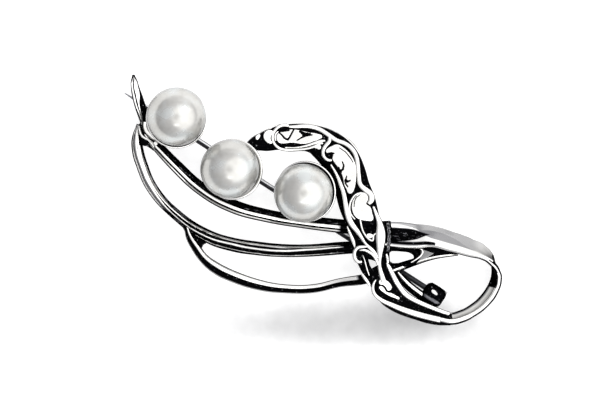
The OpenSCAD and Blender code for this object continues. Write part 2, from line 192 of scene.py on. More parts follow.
def dress(obj, name, material, node):
    """Names a finished piece, gives it its material and its body, and hides its CAD node."""
    obj.name = name
    obj.data.name = name
    obj.data.materials.clear()
    obj.data.materials.append(material)
    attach(obj, "brooch")
    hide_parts(node)


def smooth(obj, angle=40.0):
    """Smooth shading, with edges sharper than the angle kept."""
    only(obj)
    bpy.ops.object.shade_smooth_by_angle(angle=math.radians(angle))


def finish_silver(obj, name, angle=40.0):
    """The last steps of each piece of silver, once it has its patina."""
    smooth(obj, angle)
    wipe_back(obj)
    dress(obj, name, silver_material, "silver_frame")


def between(values, s):
    """Smooth value of a list at a place along it that may be a fraction."""
    last = len(values) - 1
    i = max(0, min(int(s), last - 1))
    t = s - i
    a, b, c, d = values[max(i - 1, 0)], values[i], values[i + 1], values[min(i + 2, last)]
    square, cube = 2 * a - 5 * b + 4 * c - d, 3 * b - a - 3 * c + d
    return (2 * b + (c - a) * t + square * t**2 + cube * t**3) / 2


def at_row(table, s):
    """Smooth values of a table's columns at a place along its rows that may be a fraction."""
    return [between(column, min(s, len(table) - 1)) for column in zip(*table)]


def patchy(s, across, to_a_row, to_the_width, seed):
    """Uneven value from about -0.5 to 0.5 along a strip, with its patches' rates and a seed."""
    return noise.noise(Vector((s * to_a_row, across * to_the_width, seed)))


def black_where(distance, edge=0.06):
    """Patina that turns black where a distance, as a share of the width, is over nought."""
    return clamp(BLACK_EDGE + distance / edge)


# The slight wave that a carved wax keeps: its height in millimetres, and its waves to a millimetre
HAND_WAVE, WAVE_RATE = 0.03, 0.7


def sweep(rows, profile, steps, detail):
    """A mesh in millimetres, swept along rows of x, y, base height, width, height and maybe roll.
    The profile holds shares of the width and height, and the patina, from the right-hand side. The
    detail function takes the place along the rows and a profile point, and gives its patina and rise."""
    bpy.ops.object.select_all(action="DESELECT")
    outline = bpy.data.curves.new("profile", "CURVE")
    spline = outline.splines.new("POLY")
    spline.points.add(len(profile) - 1)
    for point, (across, up, _) in zip(spline.points, profile):
        point.co = (across, up, 0, 1)
    spline.use_cyclic_u = True
    shape = bpy.data.objects.new("profile", outline)
    bpy.context.collection.objects.link(shape)
    bpy.ops.curve.primitive_bezier_curve_add()
    path = bpy.context.object
    path.data.twist_mode = "Z_UP"
    path.data.resolution_u = steps
    path.data.bevel_mode = "OBJECT"
    path.data.bevel_object = shape
    path.data.use_fill_caps = True
    spline = path.data.splines[0]
    spline.radius_interpolation = "CARDINAL"
    spline.tilt_interpolation = "CARDINAL"
    spline.bezier_points.add(len(rows) - 2)
    for point, (x, y, z, width, _, *roll) in zip(spline.bezier_points, rows):
        point.handle_left_type = point.handle_right_type = "AUTO"
        point.co = (x, y, z)
        point.radius = width
        point.tilt = math.radians(roll[0]) if roll else 0.0
    only(path)
    bpy.ops.object.convert(target="MESH")
    bpy.data.objects.remove(shape)
    mesh = path.data
    # The sides' UV map tells each vertex's row and profile point, and a cap's vertices lie on theirs
    uv = mesh.uv_layers.active.data
    spots = {}
    for face in mesh.polygons:
        if max(uv[i].uv.y for i in face.loop_indices) > 0:
            for i in face.loop_indices:
                k = round(uv[i].uv.y * len(profile)) % len(profile)
                spots[mesh.loops[i].vertex_index] = (round(uv[i].uv.x * (len(rows) - 1), 4), k)
    corners = {tuple(mesh.vertices[v].co): spot for v, spot in spots.items()}
    rings = {}
    for v, (s, k) in spots.items():
        rings.setdefault(s, {})[k] = mesh.vertices[v].co.copy()
    # Each ring is then stretched from its base to its own height
    base = [k for k, point in enumerate(profile) if point[1] == 0]
    top = max(range(len(profile)), key=lambda k: profile[k][1])
    ratios = [row[4] / row[3] for row in rows]
    new_spots = {}
    for s, ring in rings.items():
        middle = (ring[base[0]] + ring[base[-1]]) / 2
        across = (ring[base[0]] - ring[base[-1]]).normalized()
        upward = ring[top] - middle
        upward = (upward - across * upward.dot(across)).normalized()
        for k, co in ring.items():
            offset = co - middle
            flat = across * offset.dot(across)
            patina, rise = detail(s, profile[k]) if detail else (profile[k][2], 0.0)
            wave = HAND_WAVE * noise.noise(co * WAVE_RATE)
            co = middle + flat + (offset - flat) * between(ratios, s) + upward * (rise + wave)
            new_spots[s, k] = (co, patina)
    layer = mesh.attributes.new("patina", "FLOAT", "POINT")
    for vertex in mesh.vertices:
        spot = spots.get(vertex.index) or corners[tuple(vertex.co)]
        vertex.co, layer.data[vertex.index].value = new_spots[spot]
    return path


def cast_strip(name, rows, profile, steps=6, angle=40.0, detail=None):
    """A finished strip of cast silver in the frame."""
    strip = sweep(rows, profile, steps, detail)
    to_metres(strip)
    finish_silver(strip, name, angle)


UPPER_RIB_PROFILE = [
    (0.42, 0, 1), (0.5, 0.25, 1), (0.5, 0.5, 1), (0.46, 0.62, 1), (0.42, 0.74, 1), (0.4, 0.84, 0),
    (0.36, 0.87, 0), (0.31, 0.85, 0), (0.28, 0.74, 1), (0.24, 0.62, 1), (0.19, 0.8, 1), (0.17, 0.92, 0),
    (0.08, 0.95, 0), (-0.01, 0.93, 0), (-0.03, 0.8, 1), (-0.07, 0.55, 1), (-0.12, 0.52, 1),
    (-0.17, 0.5, 1), (-0.22, 0.5, 1), (-0.27, 0.51, 1), (-0.32, 0.53, 1), (-0.37, 0.58, 1),
    (-0.42, 0.68, 1), (-0.46, 0.72, 0.7), (-0.5, 0.62, 1), (-0.5, 0.2, 1), (-0.42, 0, 1),
]
# The middle rib's crown, with its points so close that the polished bands end between them
MIDDLE_CROWN = [(0.46 - 0.025 * i, 0.93 - 1.1 * (0.025 * i - 0.46) ** 2, 1) for i in range(38)]
MIDDLE_RIB_PROFILE = [
    (0.42, 0, 1), (0.5, 0.3, 1), (0.5, 0.55, 1), *MIDDLE_CROWN, (-0.5, 0.55, 1), (-0.5, 0.2, 1),
    (-0.42, 0, 1),
]
# Polished bands on the middle rib, at each row, as shares of its width: both sides of the ledge, of
# the outer ridge and of the inner ridge
MIDDLE_BANDS = [
    (0.4, 0.31, 0.18, -0.05, -0.05, -0.24), (0.41, 0.31, 0.18, -0.05, -0.05, -0.28),
    (0.41, 0.31, 0.17, -0.05, -0.05, -0.32), (0.42, 0.31, 0.16, -0.08, -0.08, -0.34),
    (0.45, 0.31, 0.12, -0.1, -0.1, -0.36), (0.4, 0.39, 0.22, 0.1, -0.08, -0.21),
    (0.42, 0.33, 0.13, 0, -0.2, -0.34), (0.37, 0.28, 0.06, -0.11, -0.23, -0.36),
    (0.4, 0.32, 0.11, -0.05, -0.2, -0.34), (0.44, 0.35, 0.11, -0.06, -0.18, -0.34),
    (0.4, 0.31, 0.01, -0.17, -0.2, -0.37), (0.36, 0.34, -0.04, -0.14, -0.2, -0.24),
    (0.35, 0.35, -0.1, -0.1, -0.2, -0.2),
]
LOBE_PROFILE = [
    (0.42, 0, 1), (0.5, 0.15, 1), (0.5, 0.42, 0.9), (0.47, 0.5, 0.25), (0.43, 0.5, 0.35),
    (0.4, 0.44, 1), (0.2, 0.42, 1), (0.02, 0.5, 1), (-0.04, 0.8, 1), (-0.08, 0.93, 0), (-0.2, 0.97, 0),
    (-0.34, 0.95, 0), (-0.41, 0.88, 0), (-0.45, 0.74, 1), (-0.5, 0.55, 1), (-0.5, 0.2, 1),
    (-0.42, 0, 1),
]
# The rows at which the ribs go under the knot, where the buff no longer reaches them
UPPER_HIDDEN, MIDDLE_HIDDEN, LOBE_HIDDEN = 7.9, 10.85, 9.85


def under_knot(s, row):
    """Patina that is black from a row on."""
    return min(1.0, (s - row) / 0.1)


# The upper rib's broad channel, as shares of the width
CHANNEL_SIDES = (-0.4, -0.1)


def upper_finish(s, point):
    """The upper rib's broad channel is rubbed grey in long patches."""
    across, _, patina = point
    if CHANNEL_SIDES[0] < across < CHANNEL_SIDES[1] and s < UPPER_HIDDEN:
        return 1.0 - 0.48 * clamp((patchy(s, across, 4.5, 11, 2.0) - 0.08) / 0.14), 0.0
    return max(patina, under_knot(s, UPPER_HIDDEN)), 0.0


# The middle rib's face starts at this share of its height. Its upper groove is only toned up to a
# row, and the sides of its ridges are rubbed grey where it turns inwards.
MIDDLE_FACE_FROM = 0.6
GROOVE_TONE, GROOVE_BLACK_AFTER = 0.42, 4.0
RUBBED_ROWS = (3.4, 5.6)
GROOVE_DEEP, LEDGE_DEEP = 0.12, 0.3


def middle_finish(s, point):
    """The middle rib is black between its polished bands, and sunk there and on its ledge."""
    across, up, _ = point
    if up < MIDDLE_FACE_FROM:
        return 1.0, 0.0
    edges = at_row(MIDDLE_BANDS, s)
    inside = max(min(edges[i] - across, across - edges[i + 1]) for i in (0, 2, 4))
    patina = black_where(-inside, 0.05)
    if 0.0 < across < 0.44:
        patina = min(patina, max(GROOVE_TONE, s - GROOVE_BLACK_AFTER))
    if RUBBED_ROWS[0] < s < RUBBED_ROWS[1] and (across < -0.2 or 0.08 < across < 0.4):
        patina = min(patina, 1.0 - 0.5 * clamp((patchy(s, across, 5, 9, 6.0) + 0.1) / 0.14))
    sunk = GROOVE_DEEP * clamp(patina * 2 - 0.5) + LEDGE_DEEP * clamp((across - 0.2) / 0.06)
    return max(patina, under_knot(s, MIDDLE_HIDDEN)), -sunk


def lobe_finish(s, point):
    """The lobe has its profile's patina up to the knot."""
    return max(point[2], under_knot(s, LOBE_HIDDEN)), 0.0


# Rows along each rib, from the leaf's tip to the knot
UPPER_RIB = [
    (-23.6, 10.3, 2.3, 0.8, 1.3), (-22.7, 8.8, 2.4, 1.2, 1.5), (-21.2, 7.3, 2.5, 1.5, 1.6),
    (-18.8, 4.8, 2.6, 1.7, 1.7), (-15.3, 1.6, 2.7, 1.8, 1.8), (-11, -0.8, 2.8, 1.9, 1.8),
    (-6.5, -2.1, 2.9, 1.8, 1.8), (-1.1, -3, 2.9, 1.8, 1.8), (4.1, -3.6, 3.1, 1.9, 1.8),
    (7.4, -3.9, 3.2, 1.9, 1.7),
]
MIDDLE_RIB = [
    (-23.75, 10.35, 2.3, 0.55, 1.2), (-23.97, 8.7, 2.1, 1.35, 1.5), (-23.9, 6.9, 1.8, 1.6, 1.6),
    (-23.4, 5, 1.4, 1.6, 1.7), (-21.85, 1.5, 0.9, 1.55, 1.7), (-18.55, -2.1, 0.5, 1.5, 1.7),
    (-14.25, -5, 0.5, 1.8, 1.7), (-10.9, -6.1, 0.9, 1.9, 1.7), (-7.7, -6.6, 1.4, 1.9, 1.7),
    (-4.2, -6.9, 1.9, 1.8, 1.7), (-0.7, -6.9, 2.3, 1.7, 1.7), (4.9, -6.5, 2.9, 1.7, 1.7),
    (8.1, -6.4, 3.1, 1.4, 1.7),
]
LOBE_RIB = [
    (-17.3, -3.7, 0.5, 0.6, 1.3), (-16.9, -5, 0.4, 0.95, 1.5), (-15.87, -6.68, 0.3, 1.25, 1.6),
    (-14.84, -8.05, 0.1, 1.35, 1.7), (-13.22, -9.32, 0, 1.6, 1.8), (-11.26, -10.31, 0, 1.6, 1.8),
    (-7.28, -11.64, 0, 1.45, 1.8), (-3.6, -12.16, 0.1, 1.2, 1.8), (0.2, -12.1, 0.4, 1.2, 1.8),
    (3.7, -11.3, 1.1, 1.2, 1.8), (7, -10.8, 2.1, 1.4, 1.8), (9.4, -10.1, 2.6, 1.3, 1.7),
]
cast_strip("upper_rib", UPPER_RIB, UPPER_RIB_PROFILE, steps=16, detail=upper_finish)
cast_strip("middle_rib", MIDDLE_RIB, MIDDLE_RIB_PROFILE, steps=10, detail=middle_finish)
cast_strip("lobe_rib", LOBE_RIB, LOBE_PROFILE, detail=lobe_finish)


# The blade
# The leaf ends at the upper left in a narrow pointed blade, cast with the ribs. Its left face
# is polished, with one fine groove, and its right face is left black.
BLADE_FACE = [(0.46 - 0.04 * i, 1.0 - 0.35 * (0.04 * i) ** 2, 0) for i in range(24)]
BLADE_PROFILE = [
    (0.35, 0, 1), (0.5, 0.25, 1), (0.49, 0.6, 1), *BLADE_FACE, (-0.5, 0.3, 1), (-0.35, 0, 1),
]
BLADE = [
    (-24.47, 17.1, 2.5, 0.35, 0.5), (-24.38, 16.3, 2.4, 0.9, 1), (-24.24, 15.3, 2.35, 1.18, 1.3),
    (-23.98, 14.3, 2.3, 1.4, 1.4), (-23.6, 13, 2.3, 1.5, 1.5), (-23.3, 12, 2.3, 1.45, 1.6),
    (-23.15, 11, 2.3, 1.1, 1.6), (-23.25, 10.1, 2.3, 0.5, 1.5),
]
# Shares of the width, at each row: the end of the left outline, both sides of the groove, and where
# the black right face starts
BLADE_EDGES = [
    (0, 0, 0, 0), (0.35, 0.14, 0.02, -0.36), (0.37, 0.2, 0.09, -0.37), (0.39, 0.2, 0.1, -0.28),
    (0.38, 0.24, 0.14, 0), (0.33, 0.21, 0.18, 0.06), (0.28, 0.15, 0.15, 0.04), (0.2, 0, 0, 0),
]
BLADE_GROOVE_DEEP = 0.08


def blade_finish(s, point):
    """Black outline, groove and right face of the blade, which widen downwards."""
    across, _, patina = point
    if patina:
        return 1.0, 0.0
    outline, groove, groove_end, face = at_row(BLADE_EDGES, s)
    inside = max(across - outline, min(groove - across, across - groove_end), face - across)
    return black_where(inside, 0.05), -BLADE_GROOVE_DEEP * (groove > across > groove_end)


cast_strip("blade", BLADE, BLADE_PROFILE, steps=8, detail=blade_finish)


# The leaf's webs
# Small black webs of silver join the ribs under the blade, and where the lobe leaves the middle
# rib. The upper one was carved with a thin raised line and a bead, whose tops are polished.
def plate(outline, low, high, edge, curved=True):
    """A mesh cut to a closed outline of x and y, with its sides rounded outwards by the edge."""
    bpy.ops.object.select_all(action="DESELECT")
    bpy.ops.curve.primitive_bezier_circle_add()
    shape = bpy.context.object
    shape.data.dimensions = "2D"
    shape.data.resolution_u = 6
    shape.data.fill_mode = "BOTH"
    shape.data.bevel_depth = edge
    shape.data.bevel_resolution = 3
    shape.data.extrude = (high - low) / 2 - edge
    spline = shape.data.splines[0]
    spline.bezier_points.add(len(outline) - 4)
    for point, (x, y) in zip(spline.bezier_points, outline):
        point.handle_left_type = point.handle_right_type = "AUTO" if curved else "VECTOR"
        point.co = (x, y, 0)
    only(shape)
    bpy.ops.object.convert(target="MESH")
    shape.location.z = (low + high) / 2
    return shape


def set_patina(obj, level_at, unit=MM):
    """Writes the patina attribute, where level_at takes a vertex's place in millimetres and normal."""
    layer = obj.data.attributes.get("patina") or obj.data.attributes.new("patina", "FLOAT", "POINT")
    for vertex, level in zip(obj.data.vertices, layer.data):
        level.value = level_at(vertex.co / unit, vertex.normal)


def all_black(place, normal):
    """Patina of what the buff doesn't reach."""
    return 1.0


def black_sides(place, normal):
    """Patina of a raised piece with a buffed top."""
    return 1.0 if normal.z < 0.8 else 0.0


def cast_piece(obj, name, level_at):
    """A finished piece of silver in the frame, from a closed mesh in millimetres."""
    to_metres(obj)
    set_patina(obj, level_at)
    finish_silver(obj, name)


JUNCTION = [
    (-23.75, 9.9), (-23.2, 10.5), (-22.6, 9.7), (-21.6, 8.6), (-21, 7.6), (-21.5, 6.8), (-22.1, 7.1),
    (-22.6, 7.4), (-23.1, 7.5), (-23.4, 8.1), (-23.6, 9),
]
LOBE_ROOT = [
    (-17.6, -3.3), (-16.3, -4.5), (-14.9, -5.4), (-14.6, -5.75), (-15, -6.05), (-15.5, -6.8),
    (-16.2, -6.6), (-17, -5.3), (-17.4, -4.3),
]
JUNCTION_BEAD = [(-21.55, 7.85), (-21.3, 7.9), (-21.2, 7.65), (-21.35, 7.5), (-21.58, 7.6)]
JUNCTION_LINE = [
    (-23.63, 9.95, 3.6, 0.28, 0.4), (-23.56, 9.46, 3.8, 0.34, 0.4), (-23.36, 8.89, 3.8, 0.36, 0.4),
    (-22.98, 8.5, 3.85, 0.36, 0.4), (-22.4, 8.2, 3.9, 0.34, 0.4), (-22, 7.75, 3.9, 0.32, 0.4),
    (-21.6, 7.15, 3.9, 0.24, 0.35),
]
# A raised line, which goes down into the ground under it. It has steep black sides.
LINE_PROFILE = [
    (0.5, -2, 1), (0.5, 0, 1), (0.48, 0.35, 1), (0.43, 0.62, 0.7), (0.38, 0.8, 0), (0.2, 0.9, 0),
    (0, 0.94, 0), (-0.2, 0.9, 0), (-0.38, 0.8, 0), (-0.43, 0.62, 0.7), (-0.48, 0.35, 1), (-0.5, 0, 1),
    (-0.5, -2, 1),
]
LINE_ANGLE = 60.0
cast_piece(plate(JUNCTION, 2.4, 3.8, 0.1), "junction_web", all_black)
cast_piece(plate(LOBE_ROOT, 0.4, 1.15, 0.1), "lobe_root_web", all_black)
cast_piece(plate(JUNCTION_BEAD, 3.5, 4.1, 0.08), "junction_bead", black_sides)
cast_strip("junction_line", JUNCTION_LINE, LINE_PROFILE, angle=LINE_ANGLE)


# The scroll strap's ground
# The ribbon wraps over the ribs as a broad strap and goes on as the arm. Its ground is matted and
# black, a thin polished edge runs along its outside, and deep dark walls close its inner side. A
# narrow band, rubbed grey in patches, ends the knot at the bow.
GROUND_PROFILE = [
    (0.42, 0, 1), (0.5, 0.3, 1), (0.5, 0.6, 1), (0.44, 0.72, 1), (0.15, 0.78, 1), (-0.15, 0.78, 1),
    (-0.42, 0.72, 1), (-0.45, 0.74, 0.7), (-0.48, 0.72, 0), (-0.5, 0.64, 0.1), (-0.5, 0.3, 0.3),
    (-0.42, 0, 1),
]
STRAP = [
    (-8.6, 7.1, 4.5, 1.5, 1.2), (-7.9, 7.6, 4.4, 1.9, 1.3), (-6.6, 8, 4.2, 2.7, 1.3),
    (-4.6, 8.5, 4, 3.3, 1.3), (-2.3, 8.6, 3.9, 3.7, 1.3), (-0.1, 8.4, 4, 3.8, 1.3),
    (2.2, 7.3, 4.2, 4.5, 1.3), (3.9, 5.8, 4.4, 4.7, 1.3), (4.95, 3.85, 4.6, 4.6, 1.3),
    (5.7, 1.8, 4.7, 4.3, 1.3), (6.6, -0.3, 4.8, 4.1, 1.3), (7.1, -2, 4.7, 3.9, 1.3),
    (7.5, -3.3, 4.4, 3.6, 1.2),
]
ARM = [
    (8.7, -9.6, 3.7, 3.3, 1.3), (9.7, -11.4, 3.4, 3.4, 1.3), (10.4, -12.6, 3.1, 3.4, 1.3),
    (11.5, -13.7, 2.8, 3, 1.3), (12.8, -14.5, 2.6, 2.6, 1.3), (14.3, -15.1, 2.4, 2.4, 1.3),
    (15.9, -15.7, 2.3, 2.2, 1.2), (17.6, -16.1, 2.2, 1.9, 1.2), (18.9, -16.3, 2.2, 1.5, 1.1),
]
# The polished edge stands out past the rows, which also carry the scrolls
GROUND_EDGE = 0.15
for name, rows in (("strap_ground", STRAP), ("arm_ground", ARM)):
    wider = [(x, y, z, width + GROUND_EDGE, height) for x, y, z, width, height in rows]
    cast_strip(name, wider, GROUND_PROFILE)

SIDE_WALL = [
    (-0.2, 6.5, 3.7, 0.4, 1.4), (1.7, 4.7, 3.6, 0.9, 1.6), (2.8, 3, 3.5, 1.2, 1.7),
    (3.6, 1.2, 3.4, 1.2, 1.8), (4.1, -0.7, 3.4, 1.2, 1.8), (4.7, -2.4, 3.4, 1.1, 1.8),
    (5.5, -4, 3.4, 0.8, 1.8),
]
WALL_PROFILE = [(-0.5, 0, 1), (0.5, 0, 1), (0.4, 0.6, 1), (-0.2, 1, 1), (-0.5, 1, 1)]
ARM_SIDE = [
    (11, -9.1, 2.3, 0.5, 1), (11.75, -10.2, 2.2, 0.9, 1), (12.7, -11.35, 2.1, 1.2, 1),
    (13.8, -12.3, 2, 1.3, 1), (15.2, -13.3, 2, 1.2, 0.9), (16.6, -14.2, 2, 0.8, 0.7),
]
ARM_SIDE_PROFILE = [
    (0.45, 0, 1), (0.5, 0.7, 1), (0.1, 0.8, 1), (0, 0.9, 0), (-0.12, 0.94, 0), (-0.26, 0.9, 0),
    (-0.34, 0.8, 1), (-0.5, 0.6, 1), (-0.45, 0, 1),
]
cast_strip("strap_wall", SIDE_WALL, WALL_PROFILE)
cast_strip("arm_side", ARM_SIDE, ARM_SIDE_PROFILE)

BAND = [(10.2, -2.9, 3.5, 0.8, 1.7), (10.4, -4.8, 3.5, 0.9, 1.8), (10.2, -7, 3.5, 0.8, 1.6)]
BAND_FACE = [(0.24 - 0.06 * i, 1.0, 0) for i in range(9)]
BAND_PROFILE = [(0.5, 0, 1), (0.5, 0.7, 1), *BAND_FACE, (-0.5, 0.7, 1), (-0.5, 0, 1)]


def band_finish(s, point):
    """The band's face is rubbed grey in small patches of its black."""
    across, up, _ = point
    return (BLACK_EDGE + 0.35 * patchy(s, across, 9, 7, 0) if up == 1 else 1.0), 0.0


cast_strip("knot_band", BAND, BAND_PROFILE, steps=24, detail=band_finish)


# The knot
# Under the strap the ribs are gathered into a black web, with grounds under the hook scroll and the
# stem. A thinner web fills the fork between the two strands of the bow, worn grey in its corner.
KNOT = [(5.1, -3.2), (10.4, -2.9), (10.7, -6.9), (9.4, -8), (6, -7.6), (5.1, -5.6)]
FORK = [(13.7, -6.2), (16.5, -6.1), (19.9, -6.8), (17, -7.7), (14.6, -8.2), (13.9, -7.2)]
FORK_CORNER = [
    (14.8, -6.75), (16.35, -7.3), (15.3, -7.95), (13.63, -8.5), (14.04, -8.05), (14.75, -7.43),
]
# The ground under the hook scroll is cut round the small window beside the stem
HOOK_GROUND = [
    (6.05, -6.5), (8.95, -6.5), (8.95, -8.3), (8.6, -8.3), (8.05, -8.1), (7.46, -8), (7.7, -8.9),
    (8, -9.45), (8.5, -9.15), (8.95, -8.95), (9, -11), (8.3, -11.7), (7.85, -11.6), (7.4, -10.9),
    (7, -10.2), (6.65, -9.6), (6.35, -9), (6.1, -8.5),
]
STEM_GROUND = [
    (8.9, -6.4), (10.35, -6.4), (10.4, -8.2), (10.6, -9), (10.9, -9.8), (10.2, -10.3), (8.9, -10.3),
]
FORK_WORN = 0.42
for name, outline, low, high, top in [
    ("knot_web", KNOT, 3.2, 4.7, 1.0), ("fork_web", FORK, 3.4, 4.1, 1.0),
    ("fork_corner", FORK_CORNER, 3.9, 4.3, FORK_WORN), ("hook_ground", HOOK_GROUND, 3.0, 4.3, 1.0),
    ("stem_ground", STEM_GROUND, 3.0, 4.4, 1.0),
]:
    web = plate(outline, low, high, 0.08, curved=False)
    cast_piece(web, name, lambda place, normal: top if normal.z > 0.5 else 1.0)


# The raised scrolls
# The strap's relief is carved in the wax: rims, C- and S-scrolls and leaf lobes stand about a third of
# a millimetre over the black ground. Their tops are buffed, and their steep sides stay black.
KNOT_FACE = [(8.5, -6, 4.5, 3, 1.3), (8.3, -8, 4.1, 3.4, 1.3)]
WORKED_FACE = STRAP + KNOT_FACE + ARM
# The ground's share of the rows' height
FLOOR_SHARE = 0.75


def from_run(x, y, a, b):
    """How far along the run from a to b a place is, as a share of it, and how far off the run."""
    run = Vector((b[0] - a[0], b[1] - a[1]))
    t = clamp(Vector((x - a[0], y - a[1])).dot(run) / run.length_squared)
    return t, (Vector((x, y)) - Vector((a[0], a[1])) - run * t).length


def floor_height(x, y):
    """Height of the worked face's ground at a place, in millimetres."""
    nearest, height = math.inf, 0.0
    for a, b in zip(WORKED_FACE, WORKED_FACE[1:]):
        t, far = from_run(x, y, a, b)
        if far < nearest:
            nearest = far
            height = (a[2] + FLOOR_SHARE * a[4]) * (1 - t) + (b[2] + FLOOR_SHARE * b[4]) * t
    return height


# Lines of x, y and the width that is polished
SCROLL_LINES = {
    "top_edge": [
        (-7.52, 8.63, 0.15), (-6.64, 9.27, 0.14), (-5.82, 9.7, 0.14), (-5.01, 10.1, 0.16),
        (-4.3, 10.3, 0.14),
    ],
    "end_curl": [
        (-3.3, 10.1, 0.3), (-4.05, 10.15, 0.33), (-4.6, 9.97, 0.33), (-5.07, 9.55, 0.3),
        (-5.4, 9.03, 0.28), (-5.5, 8.49, 0.3), (-5.4, 7.99, 0.3), (-5.1, 7.47, 0.3), (-4.5, 7.02, 0.3),
        (-3.51, 6.8, 0.28), (-2.15, 6.82, 0.27), (-1.06, 6.92, 0.24), (0.03, 7.2, 0.25),
        (0.91, 7.63, 0.26), (1.39, 7.74, 0.24),
    ],
    "end_curl_inner": [
        (-4.73, 9.31, 0.15), (-5.04, 8.97, 0.2), (-5.14, 8.49, 0.2), (-5.05, 8.04, 0.15),
    ],
    "crescent_rim": [
        (-3.78, 7.13, 0.12), (-2.42, 7.12, 0.14), (-1.06, 7.33, 0.24), (0.16, 7.72, 0.32),
        (1.12, 8.02, 0.32), (1.7, 8.05, 0.22),
    ],
    "shoulder_curl": [
        (2.27, 8.6, 0.3), (2.25, 8.01, 0.42), (1.82, 7.47, 0.44), (1.46, 6.86, 0.4), (1.4, 6.24, 0.36),
        (1.66, 5.7, 0.36), (2.14, 5.4, 0.34), (2.59, 5.4, 0.24),
    ],
    "strap_rim": [
        (-3.24, 9.95, 0.24), (-2.42, 9.95, 0.38), (-1.06, 10.03, 0.46), (0.03, 9.9, 0.49),
        (0.98, 9.56, 0.49), (1.93, 8.97, 0.5), (3.2, 8.12, 0.48), (4.51, 7.6, 0.46), (5.45, 6.77, 0.49),
        (5.93, 5.76, 0.49), (6.1, 4.67, 0.49), (6.22, 3.36, 0.49), (6.47, 2.05, 0.52),
        (7.15, 1.38, 0.64), (7.85, 0.75, 0.67), (7.96, 0.02, 0.67), (7.6, -0.5, 0.45),
    ],
    "outer_edge": [
        (2.9, 9.35, 0.1), (4.2, 8.75, 0.13), (5.09, 8.2, 0.15), (6.1, 7.05, 0.14), (6.7, 5.9, 0.14),
        (7.1, 4.5, 0.15), (7.4, 2.93, 0.15), (8, 1.95, 0.15),
    ],
    "inner_rim": [
        (2.48, 4.74, 0.22), (3.2, 3.51, 0.32), (3.78, 2.13, 0.42), (4.22, 0.75, 0.5),
        (4.45, -0.56, 0.55), (4.73, -1.95, 0.62), (5.06, -2.85, 0.64), (5.55, -3.61, 0.6),
        (6.1, -4.31, 0.5), (6.64, -5.13, 0.36), (7.18, -5.95, 0.28), (7.73, -6.49, 0.4),
        (8.27, -7.03, 0.45), (8.76, -7.8, 0.42),
    ],
    "oval_line": [
        (6.61, 1.01, 0.13), (5.85, 0.75, 0.18), (5.27, 0.02, 0.2), (5, -0.85, 0.2), (5.13, -1.86, 0.2),
        (5.7, -2.6, 0.15),
    ],
    "knot_left_edge": [
        (4.66, -3.5, 0.1), (4.92, -4.15, 0.26), (5.25, -4.97, 0.4), (5.5, -5.62, 0.4),
        (5.77, -6.49, 0.17),
    ],
    "thin_rib": [
        (6.42, -2.6, 0.2), (6.5, -3, 0.2), (6.59, -3.47, 0.2), (6.8, -4.18, 0.2), (7.16, -4.83, 0.2),
        (7.51, -5.24, 0.2), (7.92, -5.5, 0.22), (8.13, -5.5, 0.22), (8.22, -5.15, 0.22),
        (8.28, -4.8, 0.2), (8.55, -4.58, 0.18), (9.05, -4.35, 0.16),
    ],
    "stem": [
        (8.2, -0.9, 0.24), (8.45, -1.5, 0.34), (8.75, -2.25, 0.46), (9, -2.95, 0.62),
        (9.15, -3.65, 0.85), (9.2, -4.42, 1.12), (9.2, -5.29, 1.16), (9.17, -6.16, 0.94),
        (9.12, -7.03, 0.68), (9.08, -7.9, 0.46), (9.06, -8.78, 0.4), (9.2, -9.65, 0.5),
        (9.42, -10.41, 0.6), (9.6, -11.06, 0.66),
    ],
    "left_hook": [
        (7.46, -6.33, 0.2), (6.75, -6.36, 0.3), (6.15, -6.47, 0.36), (5.77, -6.87, 0.36),
        (5.66, -7.47, 0.36), (5.8, -8.05, 0.36), (6.18, -8.4, 0.34), (6.66, -8.42, 0.26),
    ],
    "arch": [
        (6.37, -6.85, 0.14), (6.97, -6.8, 0.26), (7.62, -7.05, 0.3), (8.22, -7.5, 0.3),
        (8.65, -8.1, 0.33), (8.9, -8.78, 0.28),
    ],
    "arm_rim_start": [
        (6.7, -10.08, 0.26), (7.02, -10.54, 0.32), (7.4, -11.06, 0.32), (7.73, -11.61, 0.24),
    ],
    "outer_arm_rim": [
        (8.6, -10.84, 0.15), (8.27, -11.39, 0.26), (8.19, -12.04, 0.3), (8.38, -12.72, 0.34),
        (8.85, -13.25, 0.38), (9.58, -13.75, 0.44), (10.67, -14.25, 0.52), (11.97, -14.8, 0.6),
        (13.9, -15.46, 0.68), (16.1, -16.05, 0.68), (17.8, -16.42, 0.66), (19, -16.65, 0.5),
    ],
    "inner_arm_start": [
        (9.98, -7.3, 0.18), (10.1, -7.7, 0.28), (10.17, -8.1, 0.32), (10.2, -8.5, 0.22),
    ],
    "inner_arm_rim": [
        (10, -8.5, 0.16), (10.28, -8.95, 0.4), (10.69, -9.78, 0.5), (11.22, -10.85, 0.56),
        (11.88, -11.91, 0.58), (12.58, -12.79, 0.58), (13.52, -13.45, 0.54), (14.7, -14.03, 0.5),
        (16.2, -14.66, 0.46), (17.6, -15.2, 0.42), (18.6, -15.5, 0.36),
    ],
    "hook_streak": [
        (6.8, -7.55, 0.1), (7.05, -8.2, 0.13), (7.27, -9, 0.13), (7.6, -10.08, 0.15),
        (7.9, -10.84, 0.1),
    ],
}
# The black sides make a line wider than its polished top, and a broad line stands higher
LINE_SIDES, LINE_SIDES_EXTRA = 1.25, 0.06
LINE_RISE, RISE_BY_WIDTH = 0.35, 0.2
LOW_LINES = ("top_edge", "outer_edge", "hook_streak", "knot_left_edge")
LOW_BY = 0.4
for name, line in SCROLL_LINES.items():
    drop = LOW_BY if name in LOW_LINES else 0.0
    rows = [
        (
            x, y, floor_height(x, y) - drop,
            width * LINE_SIDES + LINE_SIDES_EXTRA, LINE_RISE + RISE_BY_WIDTH * width,
        )
        for x, y, width in line
    ]
    cast_strip(name, rows, LINE_PROFILE, steps=5, angle=LINE_ANGLE)

